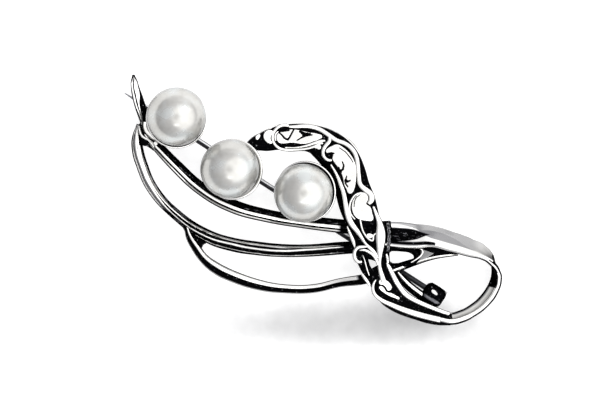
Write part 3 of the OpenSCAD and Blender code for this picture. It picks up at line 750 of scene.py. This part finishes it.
LEAVES = {
    "end_lobe": [
        (-6.64, 8.63), (-6.5, 9.1), (-6.05, 9.42), (-5.62, 9.42), (-5.42, 9.25), (-5.65, 8.93),
        (-5.8, 8.53), (-5.75, 8.1), (-5.58, 7.75), (-5.96, 7.78), (-6.4, 8.1),
    ],
    "end_bead": [(-7.72, 8.5), (-7.5, 8.78), (-7.25, 8.86), (-7.32, 8.49), (-7.55, 8.24)],
    "hook_bead": [(7.35, -4.75), (7.55, -4.62), (7.95, -4.68), (8.15, -4.85), (7.9, -5.1), (7.6, -5.1)],
    "first_leaf": [
        (-4.9, 8.49), (-4.83, 8.8), (-4.6, 9.1), (-4.3, 9.3), (-3.78, 9.42), (-3.24, 9.5),
        (-2.56, 9.52), (-1.61, 9.37), (-0.52, 9.13), (0.57, 8.95), (1.2, 8.63), (0.84, 8.33),
        (0.03, 8.03), (-0.79, 7.75), (-1.61, 7.7), (-2.83, 7.86), (-3.78, 7.76), (-4.53, 7.83),
        (-4.78, 8.1),
    ],
    "notch_bit": [(0.2, 7.24), (0.8, 7.44), (1.02, 7.31), (0.92, 6.95), (0.57, 7.03)],
    "second_leaf": [
        (1.8, 6.7), (2.04, 6.38), (2.62, 6.41), (2.8, 6.12), (2.72, 5.61), (2.98, 5.1), (3.42, 4.55),
        (3.83, 3.85), (4.08, 3.29), (4.22, 2.71), (4.34, 2.05), (4.62, 1.5), (4.91, 0.95), (5.25, 1),
        (5.6, 1.65), (5.77, 2.49), (5.83, 3.51), (5.77, 4.62), (5.45, 5.5), (4.85, 6.4), (4.05, 7.12),
        (3.27, 7.5), (2.62, 7.28), (2.08, 7),
    ],
    "oval_lobe": [
        (6.54, 0.95), (7.2, 0.78), (7.45, 0.17), (7.2, -0.56), (7.75, -1.02), (8, -1.86), (8.1, -2.7),
        (7.27, -2.78), (6.5, -2.64), (5.87, -2.3), (5.46, -1.57), (5.37, -0.63), (5.7, 0.25),
    ],
    "stem_foot": [
        (9.25, -10.84), (9.58, -10.87), (10.1, -11.08), (10.52, -11.5), (10.68, -11.93), (10.5, -12.25),
        (10.25, -12.28), (9.98, -11.85), (9.52, -11.5), (9.12, -11.4),
    ],
    "foot_leaf": [
        (9.08, -11.87), (9.27, -11.78), (9.63, -12.03), (10.01, -12.58), (10.67, -12.75),
        (11.32, -13.1), (11.75, -13.44), (11.21, -13.3), (10.45, -13.02), (9.8, -12.65), (9.28, -12.22),
    ],
}
# How far a leaf stands over the ground and goes into it, its rounded side, and its even grid
LEAF_RISE, LEAF_ROOT, LEAF_SIDE, LEAF_GRID = 0.36, 0.3, 0.09, 0.05
# Veins scored into the leaves with a graver, as lines of x, y and width; the black stays in them
CUT_LINES = {
    "first_leaf": [
        [
            (-4.57, 9.13, 0.13), (-4.22, 8.83, 0.18), (-3.85, 8.39, 0.22), (-3.4, 8.2, 0.22),
            (-3.13, 8.59, 0.2), (-2.86, 9.1, 0.2), (-2.59, 9.6, 0.16),
        ],
        [(-4.5, 9.28, 0.13), (-3.92, 9.4, 0.24), (-3.24, 9.46, 0.13)],
        [(-2.15, 8.12, 0.12), (-1.61, 8.45, 0.16), (-0.93, 8.72, 0.16), (-0.11, 8.85, 0.12)],
        [(-1.71, 9.3, 0.3), (-1.35, 9.05, 0.4), (-1, 9, 0.3), (-0.35, 9, 0.16)],
        [(-1.42, 8.5, 0.1), (-1.32, 8.75, 0.22), (-1.1, 8.95, 0.3)],
    ],
    "second_leaf": [
        [(1.87, 6.29, 0.13), (2.48, 6.38, 0.22), (2.84, 6.32, 0.15)],
        [(4, 5.17, 0.12), (4.19, 4.7, 0.17), (4.1, 4.2, 0.26), (3.8, 3.95, 0.24)],
        [(3.52, 4.45, 0.1), (3.67, 4.05, 0.16), (3.85, 3.8, 0.2)],
        [(4.58, 3.22, 0.12), (4.48, 2.81, 0.17), (4.68, 2.48, 0.26), (5.05, 2.63, 0.16)],
        [(4.35, 2.71, 0.12), (4.48, 2.15, 0.16), (4.73, 1.8, 0.14)],
        [(3.56, 7.1, 0.04), (4.45, 6.5, 0.07), (5.1, 5.7, 0.07), (5.45, 5.1, 0.04)],
    ],
    "oval_lobe": [[(6.4, 0.7, 0.04), (5.88, 0.35, 0.07), (5.65, -0.2, 0.07), (5.6, -0.9, 0.05)]],
}
# How deep a vein is, how wide its sides are, and how far out on the face its black goes
CUT_DEEP, CUT_SIDE, CUT_BLACK = 0.12, 0.06, 0.02


def cut_at(x, y, lines):
    """How far inside the nearest scored line a place is, in millimetres."""
    inside = -1.0
    for line in lines:
        for a, b in zip(line, line[1:]):
            t, far = from_run(x, y, a, b)
            inside = max(inside, (a[2] + (b[2] - a[2]) * t) / 2 - far)
    return inside


def shape_by(obj, kind, **settings):
    """Shapes a mesh by a modifier with its settings, and applies it."""
    modifier = obj.modifiers.new("shape", kind)
    for key, value in settings.items():
        setattr(modifier, key, value)
    only(obj)
    bpy.ops.object.modifier_apply(modifier="shape")


for name, outline in LEAVES.items():
    leaf = plate(outline, -LEAF_ROOT, LEAF_RISE, LEAF_SIDE)
    shape_by(leaf, "REMESH", mode="VOXEL", voxel_size=LEAF_GRID)
    to_metres(leaf)
    lines = CUT_LINES.get(name, [])
    scored = []
    for vertex in leaf.data.vertices:
        x, y, z = vertex.co / MM
        inside = cut_at(x, y, lines) if z > LEAF_RISE / 2 else -1.0
        scored.append(inside)
        sunk = CUT_DEEP * clamp(inside / CUT_SIDE + 0.5)
        vertex.co.z += (floor_height(x, y) - sunk) * MM
    set_patina(leaf, black_sides)
    for level, inside in zip(leaf.data.attributes["patina"].data, scored):
        if inside > -CUT_BLACK:
            level.value = 1.0
    finish_silver(leaf, name)


# The bow
# The ribbon leaves the knot lying nearly flat, turns on edge round the right end, and comes back
# along the bottom. It is cast too, with a dished face between two bright edges. An inner strand
# joins it from under the strap.
TOP_EDGE = [(0.49, 0.3), (0.485, 0.42), (0.47, 0.5), (0.45, 0.52), (0.42, 0.51), (0.39, 0.49)]
HOLLOW = [(0.36 - 0.03 * i, 0.36 + 0.9 * (0.36 - 0.03 * i) ** 2) for i in range(25)]
UNDERSIDE = [(-0.44, -0.5), (-0.3, -0.44), (-0.1, -0.38), (0.1, -0.38), (0.3, -0.44), (0.4, -0.5)]
RIBBON_PROFILE = [
    (0.5, 0, 0), *[(x, y, 0) for x, y in TOP_EDGE + HOLLOW],
    *[(-x, y, 0) for x, y in reversed(TOP_EDGE)], (-0.5, 0, 0), (-0.49, -0.3, 1), (-0.47, -0.48, 1),
    *[(x, y, 1) for x, y in UNDERSIDE], (0.45, -0.5, 1), (0.475, -0.42, 1), (0.49, -0.28, 0),
]
BOW = [
    (9.4, -4.6, 4.2, 3.4, 0.8, -15), (11.6, -4.8, 4.2, 3.7, 0.8, -20), (13.8, -5, 4.1, 3.8, 0.8, -30),
    (16.1, -5, 3.9, 3.8, 0.7, -45), (18.8, -5.7, 3.7, 3.8, 0.7, -50), (21.4, -6.5, 3.2, 3.8, 0.7, -56),
    (23.3, -7.2, 2.7, 3.8, 0.7, -68), (24.5, -8.4, 2.3, 3.8, 0.8, -84), (25.05, -9.8, 2, 3.8, 0.7, -98),
    (25, -11, 1.95, 3.8, 0.7, -104), (24.5, -12.3, 2, 3.7, 0.7, -107),
    (23.4, -13.8, 2.2, 3.4, 0.7, -109), (21.8, -15.1, 2.4, 3.1, 0.7, -110),
    (20.2, -15.9, 2.6, 2.9, 0.8, -110), (18.8, -16.2, 2.8, 2.6, 0.8, -112),
    (17.4, -16, 2.9, 2.2, 0.8, -115),
]
# The middle and half width of the ribbon's black channel and of its fine scored line, at each row
# from the knot, and how deep the channel is
CHANNEL = [(0.03, 0.27), (0.01, 0.26), (-0.04, 0.2), (-0.02, 0)]
SCORED = [(0.33, 0.05), (0.33, 0.05), (0.34, 0.06), (0.42, 0.07), (0.5, 0)]
CHANNEL_DEEP = 0.3
# The grey stripe of painted shade on the ribbon's face, at each row: its middle, half its width, and the
# painted shade above it
PAINTED_SHADE_STRIPE = [
    (-0.42, 0, 0.44), (-0.41, 0, 0.44), (-0.3, 0, 0.4), (-0.05, 0.22, 0.3), (0, 0.22, 0.36),
    (0.18, 0.07, 0.36), (0.3, 0, 0.2), (0.35, 0, 0.12),
]
PAINTED_SHADE_TONE = 0.42
# The face between the ribbon's bright edges: the share of its height it lies over, and half its width
FACE_OVER, FACE_HALF = 0.25, 0.486
# The rows to which the face, its scored line and the black line on its outer side go, and from which
# the far end of the edges is black and the underside shows
FACE_TO, SCORED_TO, SIDE_LINE_TO = 6.8, 3.2, 8
EDGES_BLACK_FROM, UNDERSIDE_FROM = 6.4, 9.8


def bow_finish(s, point):
    """Patina and rise over the ribbon: its channel by the knot, the grey stripe of painted shade, and
    the edges.
    """
    across, up, patina = point
    if up > FACE_OVER and abs(across) < FACE_HALF and s < FACE_TO:
        centre, half = at_row(CHANNEL, s)
        shade_stripe_at, shade_stripe_half, painted_shade_above = at_row(PAINTED_SHADE_STRIPE, s)
        scored_at, scored_half = at_row(SCORED, s)
        inside = max(0.0, half) - abs(across - centre)
        # Painted shade: grey above the stripe, standing in for a darker reflection on the ribbon's face
        patina = painted_shade_above * clamp((shade_stripe_at + 0.1 - across) / 0.1)
        rise = 0.0
        if half > 0.01:
            worn = min(1.0, 0.52 + abs(patchy(s, across, 2.5, 14, 3.0) - 0.3)) if inside > 0.04 else 1.0
            patina = max(patina if inside < -0.05 else 0.0, min(black_where(inside), worn))
            rise = -CHANNEL_DEEP * clamp(inside / 0.08)
        if s < SCORED_TO:
            patina = max(patina, black_where(scored_half - abs(across - scored_at)))
        # Painted shade: the grey stripe itself, for the darker reflection along the face
        shade_stripe = PAINTED_SHADE_TONE * clamp((shade_stripe_half - abs(across - shade_stripe_at)) / 0.05)
        return max(patina, shade_stripe), rise
    if s > EDGES_BLACK_FROM and up > FACE_OVER:
        return 1.0, 0.0
    if across > 0.45 and -0.3 < up < -0.2 and s < SIDE_LINE_TO:
        return 1.0, 0.0
    if up < -0.3 and s > UNDERSIDE_FROM:
        return max(black_where(-0.3 - across), black_where(0.02 - abs(across - 0.38))), 0.0
    return patina, 0.0


cast_strip("bow_ribbon", BOW, RIBBON_PROFILE, steps=16, detail=bow_finish)

INNER_STRAND = [
    (11, -9.45, 2.9, 1.2, 1.5), (13, -8.75, 3, 1.1, 1.3), (16.2, -7.75, 3.1, 0.9, 1.2),
    (19.8, -7.3, 3.1, 0.6, 1.1),
]
STRAND_PROFILE = [
    (0.42, 0, 1), (0.5, 0.25, 1), (0.48, 0.5, 1), (0.34, 0.62, 1), (0.3, 0.85, 0), (0.2, 0.97, 0),
    (0.02, 0.95, 0), (-0.06, 0.8, 1), (-0.3, 0.7, 1), (-0.5, 0.5, 1), (-0.42, 0, 1),
]
BOW_ROOT = [
    (10.3, -6.5, 3.5, 0.95, 1.2), (12.2, -6.6, 3.5, 0.9, 1.2), (13.5, -6.85, 3.5, 0.95, 1.2),
    (14.2, -7.45, 3.4, 1.05, 1.2), (14, -8.25, 3.3, 0.8, 1.2), (12.8, -8.85, 3.1, 0.9, 1.2),
    (11.3, -9.2, 3, 1.2, 1.2), (10.4, -9.3, 3, 1.4, 1.2),
]
COLLAR_PROFILE = [(0.5, 0, 1), (0.5, 0.7, 1), (0.2, 1, 1), (-0.2, 1, 1), (-0.5, 0.7, 1), (-0.5, 0, 1)]
ROOT_LINE = [
    (13.6, -6.38, 4.5, 0.24, 0.3), (14.4, -6.52, 4.5, 0.26, 0.3), (14.95, -6.95, 4.45, 0.3, 0.3),
    (14.75, -7.5, 4.4, 0.3, 0.3), (14.2, -8, 4.35, 0.26, 0.3), (13.4, -8.5, 4.3, 0.2, 0.3),
]
cast_strip("bow_inner_strand", INNER_STRAND, STRAND_PROFILE)
cast_strip("bow_root", BOW_ROOT, COLLAR_PROFILE)
cast_strip("bow_root_line", ROOT_LINE, LINE_PROFILE, angle=LINE_ANGLE)


# The pearl cups
# Each pearl sits in a dished cup, turned thin at the rim and soldered to the ribs by its foot, with
# a peg in its middle that the half-drilled pearl is glued on. A collar holds the first cup's side.
PEARL_D = 8.0
# Each pearl's centre, how far its axis leans, and which way
PEARLS = {
    "pearl_1": ((-18.5, 11.3, 7.0), 4, 80),
    "pearl_2": ((-11.3, 4.2, 6.9), 11, 178),
    "pearl_3": ((-1.3, 0.9, 7.2), 12, 217),
}
# Radius and height from the pearl's centre, from the middle of the dish to the foot
CUP_PROFILE = [
    (0, -4.05), (1.4, -3.8), (2.6, -3.1), (3.35, -2.3), (3.7, -1.95), (3.86, -1.87), (3.96, -1.85),
    (4.06, -1.85), (4.14, -1.88), (4.18, -1.98), (4.18, -2.15), (4, -2.5), (3.45, -3.1), (2.4, -4),
    (1.2, -4.45), (0, -4.55),
]
# Where the polished part of each rim starts, from the cup's axis
POLISHED_FROM = {"pearl_1": 4.0, "pearl_2": 3.84, "pearl_3": 4.04}


def leaned(centre, lean, way):
    """The place and lean of a pearl's axis, as one matrix in millimetres."""
    turn = Matrix.Rotation(math.radians(way), 4, "Z") @ Matrix.Rotation(math.radians(lean), 4, "Y")
    return Matrix.Translation(centre) @ turn


def black_ring(place, polished):
    """Patina of a cup at a place in millimetres: only the rim's crest is polished."""
    return 0.0 if place.z > -2.0 and place.xy.length > polished - 0.01 else 1.0


def turned(profile, segments):
    """A mesh turned round Z from points of radius and height, in millimetres."""
    mesh = bpy.data.meshes.new("turned")
    edges = [(i, i + 1) for i in range(len(profile) - 1)]
    mesh.from_pydata([(r, 0, z) for r, z in profile], edges, [])
    obj = bpy.data.objects.new("turned", mesh)
    bpy.context.collection.objects.link(obj)
    only(obj)
    bpy.ops.object.mode_set(mode="EDIT")
    bpy.ops.mesh.select_all(action="SELECT")
    bpy.ops.mesh.spin(steps=segments, angle=math.tau, center=(0, 0, 0), axis=(0, 0, 1))
    bpy.ops.object.mode_set(mode="OBJECT")
    return obj


for name, (centre, lean, way) in PEARLS.items():
    cup = turned(CUP_PROFILE, 72)
    polished = POLISHED_FROM[name]
    set_patina(cup, lambda place, normal: black_ring(place, polished), unit=1.0)
    cup.matrix_world = leaned(centre, lean, way)
    to_metres(cup)
    finish_silver(cup, name.replace("pearl", "cup"), 60.0)

CUP_COLLAR = [
    (-22.85, 10.6, 3.6, 0.55, 1.2), (-22.74, 9.75, 3.6, 0.72, 1.3), (-22.3, 9, 3.6, 0.68, 1.3),
    (-21.5, 8.33, 3.6, 0.56, 1.3), (-20.6, 7.85, 3.6, 0.46, 1.3), (-19.6, 7.5, 3.6, 0.34, 1.2),
]
BRIGHT_COLLAR_PROFILE = [(x, y, 0.0 if y > 0.6 else 1.0) for x, y, _ in COLLAR_PROFILE]
cast_strip("cup_collar", CUP_COLLAR, BRIGHT_COLLAR_PROFILE, angle=60.0)


# The pearls
# Freshwater pearls, near round, with a satin nacre that is a little uneven. Light comes back from
# under the surface, so they look pale grey-white with a soft broad highlight.
def nacre(tree, place):
    """Satin nacre: part of the light comes back from under its thin layers, and part off them."""
    cloud_mm, skin_mm = 3.0, 0.4
    cloud = add(
        tree, "TexNoise", "Fac",
        {"Vector": place, "Scale": 1 / (cloud_mm * MM), "Detail": 3.0, "Roughness": 0.5},
    )
    clouds = [(0.35, "#B3B2AE"), (0.5, "#BEBDB9"), (0.65, "#C8CBCA")]
    colour = add(tree, "ValToRGB", "Color", {"Fac": cloud}, clouds)
    skin = add(
        tree, "TexNoise", "Fac",
        {"Vector": place, "Scale": 1 / (skin_mm * MM), "Detail": 2.0, "Roughness": 0.5},
    )
    rough = add(
        tree, "MapRange", "Result",
        {"Value": cloud, "From Min": 0.3, "From Max": 0.7, "To Min": 0.2, "To Max": 0.3},
    )
    bump = add(tree, "Bump", "Normal", {"Strength": 0.06, "Distance": 0.05 * MM, "Height": skin})
    return add(
        tree, "BsdfPrincipled", "BSDF",
        {
            "Base Color": colour, "Metallic": 0.6, "Roughness": rough, "IOR": 1.55, "Normal": bump,
            "Coat Weight": 0.4, "Coat Roughness": 0.1, "Coat IOR": 1.5,
            "Specular Tint": linear("#8A8A8C"),
        },
    )


nacre_material = new_material("freshwater_pearl_nacre", nacre)
# A pearl's low swells, in millimetres: their height and their length
SWELL, SWELL_LENGTH = 0.06, 4.0
for name, (centre, lean, way) in PEARLS.items():
    bpy.ops.object.select_all(action="DESELECT")
    bpy.ops.mesh.primitive_uv_sphere_add(segments=96, ring_count=64, radius=PEARL_D / 2)
    pearl = bpy.context.object
    pearl.matrix_world = leaned(centre, lean, way)
    to_metres(pearl)
    waves = bpy.data.textures.new("nacre_waves", "CLOUDS")
    waves.noise_scale = SWELL_LENGTH * MM
    shape_by(pearl, "DISPLACE", texture=waves, texture_coords="LOCAL", strength=SWELL * MM)
    bpy.ops.object.shade_smooth()
    dress(pearl, name + "_nacre", nacre_material, name)


# The pin
# A drawn steel wire with a ground point and a flattened eye, which turns on a rivet. Its shape is
# kept, with fine lines along the wire. PIN_TURN is its turn in the frame, PIN_AXIS is how far aside
# its axis then lies, and WIRE_R is the wire's radius.
PIN_TURN, PIN_AXIS, WIRE_R = -32.88, -1.69, 0.4


def drawn_steel(tree, place):
    """Drawn steel wire, toned dark, a tone that also stands in for the shade it lies in, with fine lines
    along it, and a painted highlight: a bright line along one side and a grey line along the other.
    """
    lines_per_mm, breaks_per_mm = 9, 0.3
    turn = (0, 0, math.radians(-PIN_TURN))
    fine = (breaks_per_mm / MM, lines_per_mm / MM, lines_per_mm / MM)
    lines = add(tree, "Mapping", "Vector", {"Vector": place, "Rotation": turn, "Scale": fine})
    streak = add(tree, "TexNoise", "Fac", {"Vector": lines, "Scale": 1.0, "Detail": 2.0})
    by_pin = add(tree, "Mapping", "Vector", {"Vector": place, "Rotation": turn})
    along = add(tree, "SeparateXYZ", "X", {"Vector": by_pin})
    aside = along.node.outputs["Y"]
    # The painted highlight lines end under the bow, and the ground point starts past the first pearl
    highlight_reach = add(
        tree, "MapRange", "Result",
        {"Value": along, "From Min": 6 * MM, "From Max": 8 * MM, "To Min": 1.0, "To Max": 0.0},
    )
    ground_point = add(
        tree, "MapRange", "Result",
        {"Value": along, "From Min": -27.6 * MM, "From Max": -26.6 * MM, "To Min": 1.0, "To Max": 0.0},
    )
    across = add(
        tree, "MapRange", "Result",
        {"Value": aside, "From Min": (PIN_AXIS - WIRE_R) * MM, "From Max": (PIN_AXIS + WIRE_R) * MM},
    )
    dark = add(tree, "ValToRGB", "Color", {"Fac": streak}, [(0.3, "#1C1C1E"), (0.7, "#3A3A3D")])
    # Painted highlight across the wire: a bright line on one side and a grey line on the other, on black
    painted_highlight_lines = add(
        tree, "ValToRGB", "Color", {"Fac": across},
        [
            (0.06, "#5E5E62"), (0.16, "#000000"), (0.6, "#000000"), (0.68, "#DADADC"),
            (0.84, "#DADADC"), (0.92, "#000000"),
        ],
    )
    lined = add(
        tree, "Mix", 2, {0: highlight_reach, 6: dark, 7: painted_highlight_lines}, data_type="RGBA", blend_type="LIGHTEN"
    )
    colour = add(
        tree, "Mix", 2, {0: ground_point, 6: lined, 7: linear("#9A9A9E")}, data_type="RGBA"
    )
    rough = add(
        tree, "MapRange", "Result",
        {"Value": streak, "From Min": 0.3, "From Max": 0.7, "To Min": 0.2, "To Max": 0.35},
    )
    bump = add(tree, "Bump", "Normal", {"Strength": 0.1, "Distance": 0.01 * MM, "Height": streak})
    return add(
        tree, "BsdfPrincipled", "BSDF",
        {"Base Color": colour, "Metallic": 1.0, "Roughness": rough, "Normal": bump},
    )


steel_material = new_material("drawn_steel_wire", drawn_steel)
pin_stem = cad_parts["pin_stem"]
pin_stem.data.materials.clear()
pin_stem.data.materials.append(steel_material)


# The hinge and the catch
# Two ears and a foot are soldered on the back of the bow's arm and hold the rivet. A rounded cover
# closes the hinge from the front. The catch, a plain box with its mouth down, is behind the first cup.
HINGE = (16.6, -12.75, 1.35)
CATCH = (-20.74, 11.4, 0.0)
EAR_THICK, EAR_ASIDE = 0.6, 0.81
RIVET_R, RIVET_HALF, RIVET_DOME = 0.4, 1.16, 0.12
HINGE_TONE = 0.3
# Outlines in the pin's own plane: along the pin and up, from the hinge's axis or the table
EAR_ROUND = [math.radians(a) for a in range(90, 271, 20)]
EAR = [*[(math.cos(a), math.sin(a)) for a in EAR_ROUND], (1.4, -0.55), (1.4, 0.95)]
FOOT = [(-0.45, -0.45), (1.4, -0.45), (1.4, 1.1), (-0.45, 1.1)]
CATCH_BOX = [
    (-0.97, 0), (-0.52, 0), (-0.52, 1.9), (0.52, 1.9), (0.52, 0), (0.97, 0), (0.97, 3.25),
    (-0.97, 3.25),
]
ALONG_PIN = Matrix.Rotation(math.radians(PIN_TURN), 4, "Z")
UPRIGHT = Matrix.Rotation(math.radians(90), 4, "X")
ACROSS = Matrix.Rotation(math.radians(90), 4, "Z") @ UPRIGHT
for name, outline, place, aside, deep, stand in [
    ("hinge_ear_1", EAR, HINGE, EAR_ASIDE, EAR_THICK, UPRIGHT),
    ("hinge_ear_2", EAR, HINGE, -EAR_ASIDE, EAR_THICK, UPRIGHT),
    ("hinge_foot", FOOT, HINGE, -1.65, 1.2, UPRIGHT),
    ("pin_catch", CATCH_BOX, CATCH, 0.0, 1.8, ACROSS),
]:
    part = plate(outline, -deep / 2, deep / 2, 0.08, curved=False)
    part.matrix_world = Matrix.Translation(place) @ ALONG_PIN @ Matrix.Translation((0, aside, 0)) @ stand
    cast_piece(part, name, lambda place, normal: HINGE_TONE)

bpy.ops.object.select_all(action="DESELECT")
bpy.ops.mesh.primitive_cylinder_add(vertices=32, radius=RIVET_R, depth=2 * RIVET_HALF)
rivet = bpy.context.object
shape_by(rivet, "BEVEL", width=RIVET_DOME, segments=4, limit_method="ANGLE")
rivet.matrix_world = Matrix.Translation(HINGE) @ ALONG_PIN @ UPRIGHT
to_metres(rivet)
smooth(rivet)
dress(rivet, "hinge_rivet_wire", steel_material, "hinge_rivet")

# The cover is the upper half of a rounded block
COVER_PLACE, COVER_SIZE = (16.47, -12.95, 2.35), (3.1, 2.75, 1.7)
COVER_ROUND, COVER_GRID = 0.84, 0.07
bpy.ops.object.select_all(action="DESELECT")
bpy.ops.mesh.primitive_cube_add(size=1.0)
cover = bpy.context.object
cover.scale = COVER_SIZE
only(cover)
bpy.ops.object.transform_apply(location=False, rotation=False, scale=True)
shape_by(cover, "BEVEL", width=COVER_ROUND, segments=10)
bpy.ops.object.mode_set(mode="EDIT")
bpy.ops.mesh.select_all(action="SELECT")
bpy.ops.mesh.bisect(plane_co=(0, 0, 0), plane_no=(0, 0, 1), use_fill=True, clear_inner=True)
bpy.ops.object.mode_set(mode="OBJECT")
shape_by(cover, "REMESH", mode="VOXEL", voxel_size=COVER_GRID)
cover.rotation_euler.z = math.radians(PIN_TURN)
cover.location = COVER_PLACE
# The painted highlight, a bright oval on the cover's crown: its middle, its direction, and half its
# length and width
PAINTED_HIGHLIGHT_CENTRE, PAINTED_HIGHLIGHT_RUN, PAINTED_HIGHLIGHT_HALF = Vector((16.6, -12.6)), Vector((0.77, -0.64)), (0.52, 0.24)
# Its grey side is past a slanting line: the line's slope, where it crosses x = 0, and the tone
GREY_SLOPE, GREY_PAST, COVER_GREY = -0.6, -3.6, 0.52


def cover_patina_and_highlight(place, normal):
    """A painted highlight along the crown, and grey on the side by the arm."""
    run = place.xy - PAINTED_HIGHLIGHT_CENTRE
    along, aside = run.dot(PAINTED_HIGHLIGHT_RUN), run.dot(Vector((-PAINTED_HIGHLIGHT_RUN.y, PAINTED_HIGHLIGHT_RUN.x)))
    # Inside the oval the cover is left bright silver: a painted highlight
    if (along / PAINTED_HIGHLIGHT_HALF[0]) ** 2 + (aside / PAINTED_HIGHLIGHT_HALF[1]) ** 2 < 1:
        return 0.0
    return COVER_GREY if place.y < GREY_SLOPE * place.x + GREY_PAST else 1.0


cast_piece(cover, "hinge_cover", cover_patina_and_highlight)


# The studio
# A white light table glows under the brooch, but for a soft shade in front of the leaf, and a white
# tent stands over it. A key light and a low white card are behind, and a narrow light in front.
def light_table(tree, place):
    """White opal sheet that glows from below, but less in a soft oval in front of the leaf, which paints
    a soft shadow there.
    """
    # The dimmer oval is a painted shadow in front of the leaf
    shade_oval_centre, shade_oval_half = (3.0 * MM, -17.2 * MM, 0), (36.0 * MM, 6.0 * MM)
    full_glow, grain_mm = 1.4, 2.0
    offset = add(tree, "VectorMath", "Vector", {0: place, 1: shade_oval_centre}, operation="SUBTRACT")
    share = add(
        tree, "VectorMath", "Vector", {0: offset, 1: (1 / shade_oval_half[0], 1 / shade_oval_half[1], 0)},
        operation="MULTIPLY",
    )
    distance = add(tree, "VectorMath", "Value", {0: share}, operation="LENGTH")
    glow = add(
        tree, "MapRange", "Result", {"Value": distance, "From Min": 0.05, "To Max": full_glow},
        interpolation_type="SMOOTHSTEP",
    )
    grain = add(
        tree, "TexNoise", "Fac", {"Vector": place, "Scale": 1 / (grain_mm * MM), "Detail": 2.0}
    )
    colour = add(tree, "ValToRGB", "Color", {"Fac": grain}, [(0.3, "#BABABA"), (0.7, "#C2C2C2")])
    return add(
        tree, "BsdfPrincipled", "BSDF",
        {"Base Color": colour, "Roughness": 0.9, "Emission Color": colour, "Emission Strength": glow},
    )


FLOOR_SIZE, FLOOR_DROP = 3.0, 0.00002
bpy.ops.object.select_all(action="DESELECT")
bpy.ops.mesh.primitive_plane_add(size=FLOOR_SIZE, location=(0, 0, -FLOOR_DROP))
floor = bpy.context.object
floor.name = "floor"
floor.data.materials.append(new_material("white_opal_sheet", light_table))


def soft_light(name, place, size, radiance, in_reflections=True):
    """A soft light that faces the brooch, with its width and height, and its brightness as radiance."""
    bpy.ops.object.light_add(type="AREA", location=place)
    light = bpy.context.object
    light.name = name
    light.data.shape = "ELLIPSE"
    light.data.size, light.data.size_y = size
    light.data.energy = radiance * math.pi * math.pi * size[0] * size[1] / 4
    light.rotation_euler = (-Vector(place)).to_track_quat("-Z", "Y").to_euler()
    light.visible_glossy = in_reflections


soft_light("key_behind", (-0.05, 0.86, 0.50), (0.45, 0.45), 9.0, in_reflections=False)
soft_light("low_card_behind", (0.15, 1.0, 0.2), (1.6, 0.45), 0.5)
soft_light("front_strip", (-0.03, -0.55, 0.83), (0.42, 0.06), 5.0)

# The tent gives the reflections: a round bright roof that leans to the right, grey walls, and a
# dimmer hole straight above, for the camera
world = bpy.data.worlds.new("tent")
bpy.context.scene.world = world
world.use_nodes = True
sky = world.node_tree
sky.nodes.clear()
LEAN = math.radians(31)
TENT_GLOW, HOLE_GLOW = 2.15, 1.05
direction = add(sky, "TexCoord", "Generated")
towards_roof = add(
    sky, "VectorMath", "Value", {0: direction, 1: (math.sin(LEAN), -0.05, math.cos(LEAN))},
    operation="DOT_PRODUCT",
)
lifted = add(sky, "MapRange", "Result", {"Value": towards_roof, "From Min": -1.0, "From Max": 1.0})
tent = add(
    sky, "ValToRGB", "Color", {"Fac": lifted},
    [
        (0.23, "#5C5C5E"), (0.4, "#727274"), (0.6, "#8A8A8C"), (0.72, "#A2A2A4"), (0.8, "#A8A8AA"),
        (0.885, "#FFFFFF"),
    ],
)
overhead = add(sky, "SeparateXYZ", "Z", {"Vector": direction})
glow = add(
    sky, "MapRange", "Result",
    {"Value": overhead, "From Min": 0.955, "From Max": 0.99, "To Min": TENT_GLOW, "To Max": HOLE_GLOW},
    interpolation_type="SMOOTHSTEP",
)
background = add(sky, "Background", "Background", {"Color": tent, "Strength": glow})
add(sky, "OutputWorld", None, {"Surface": background})
bpy.context.scene.view_settings.view_transform = "Standard"
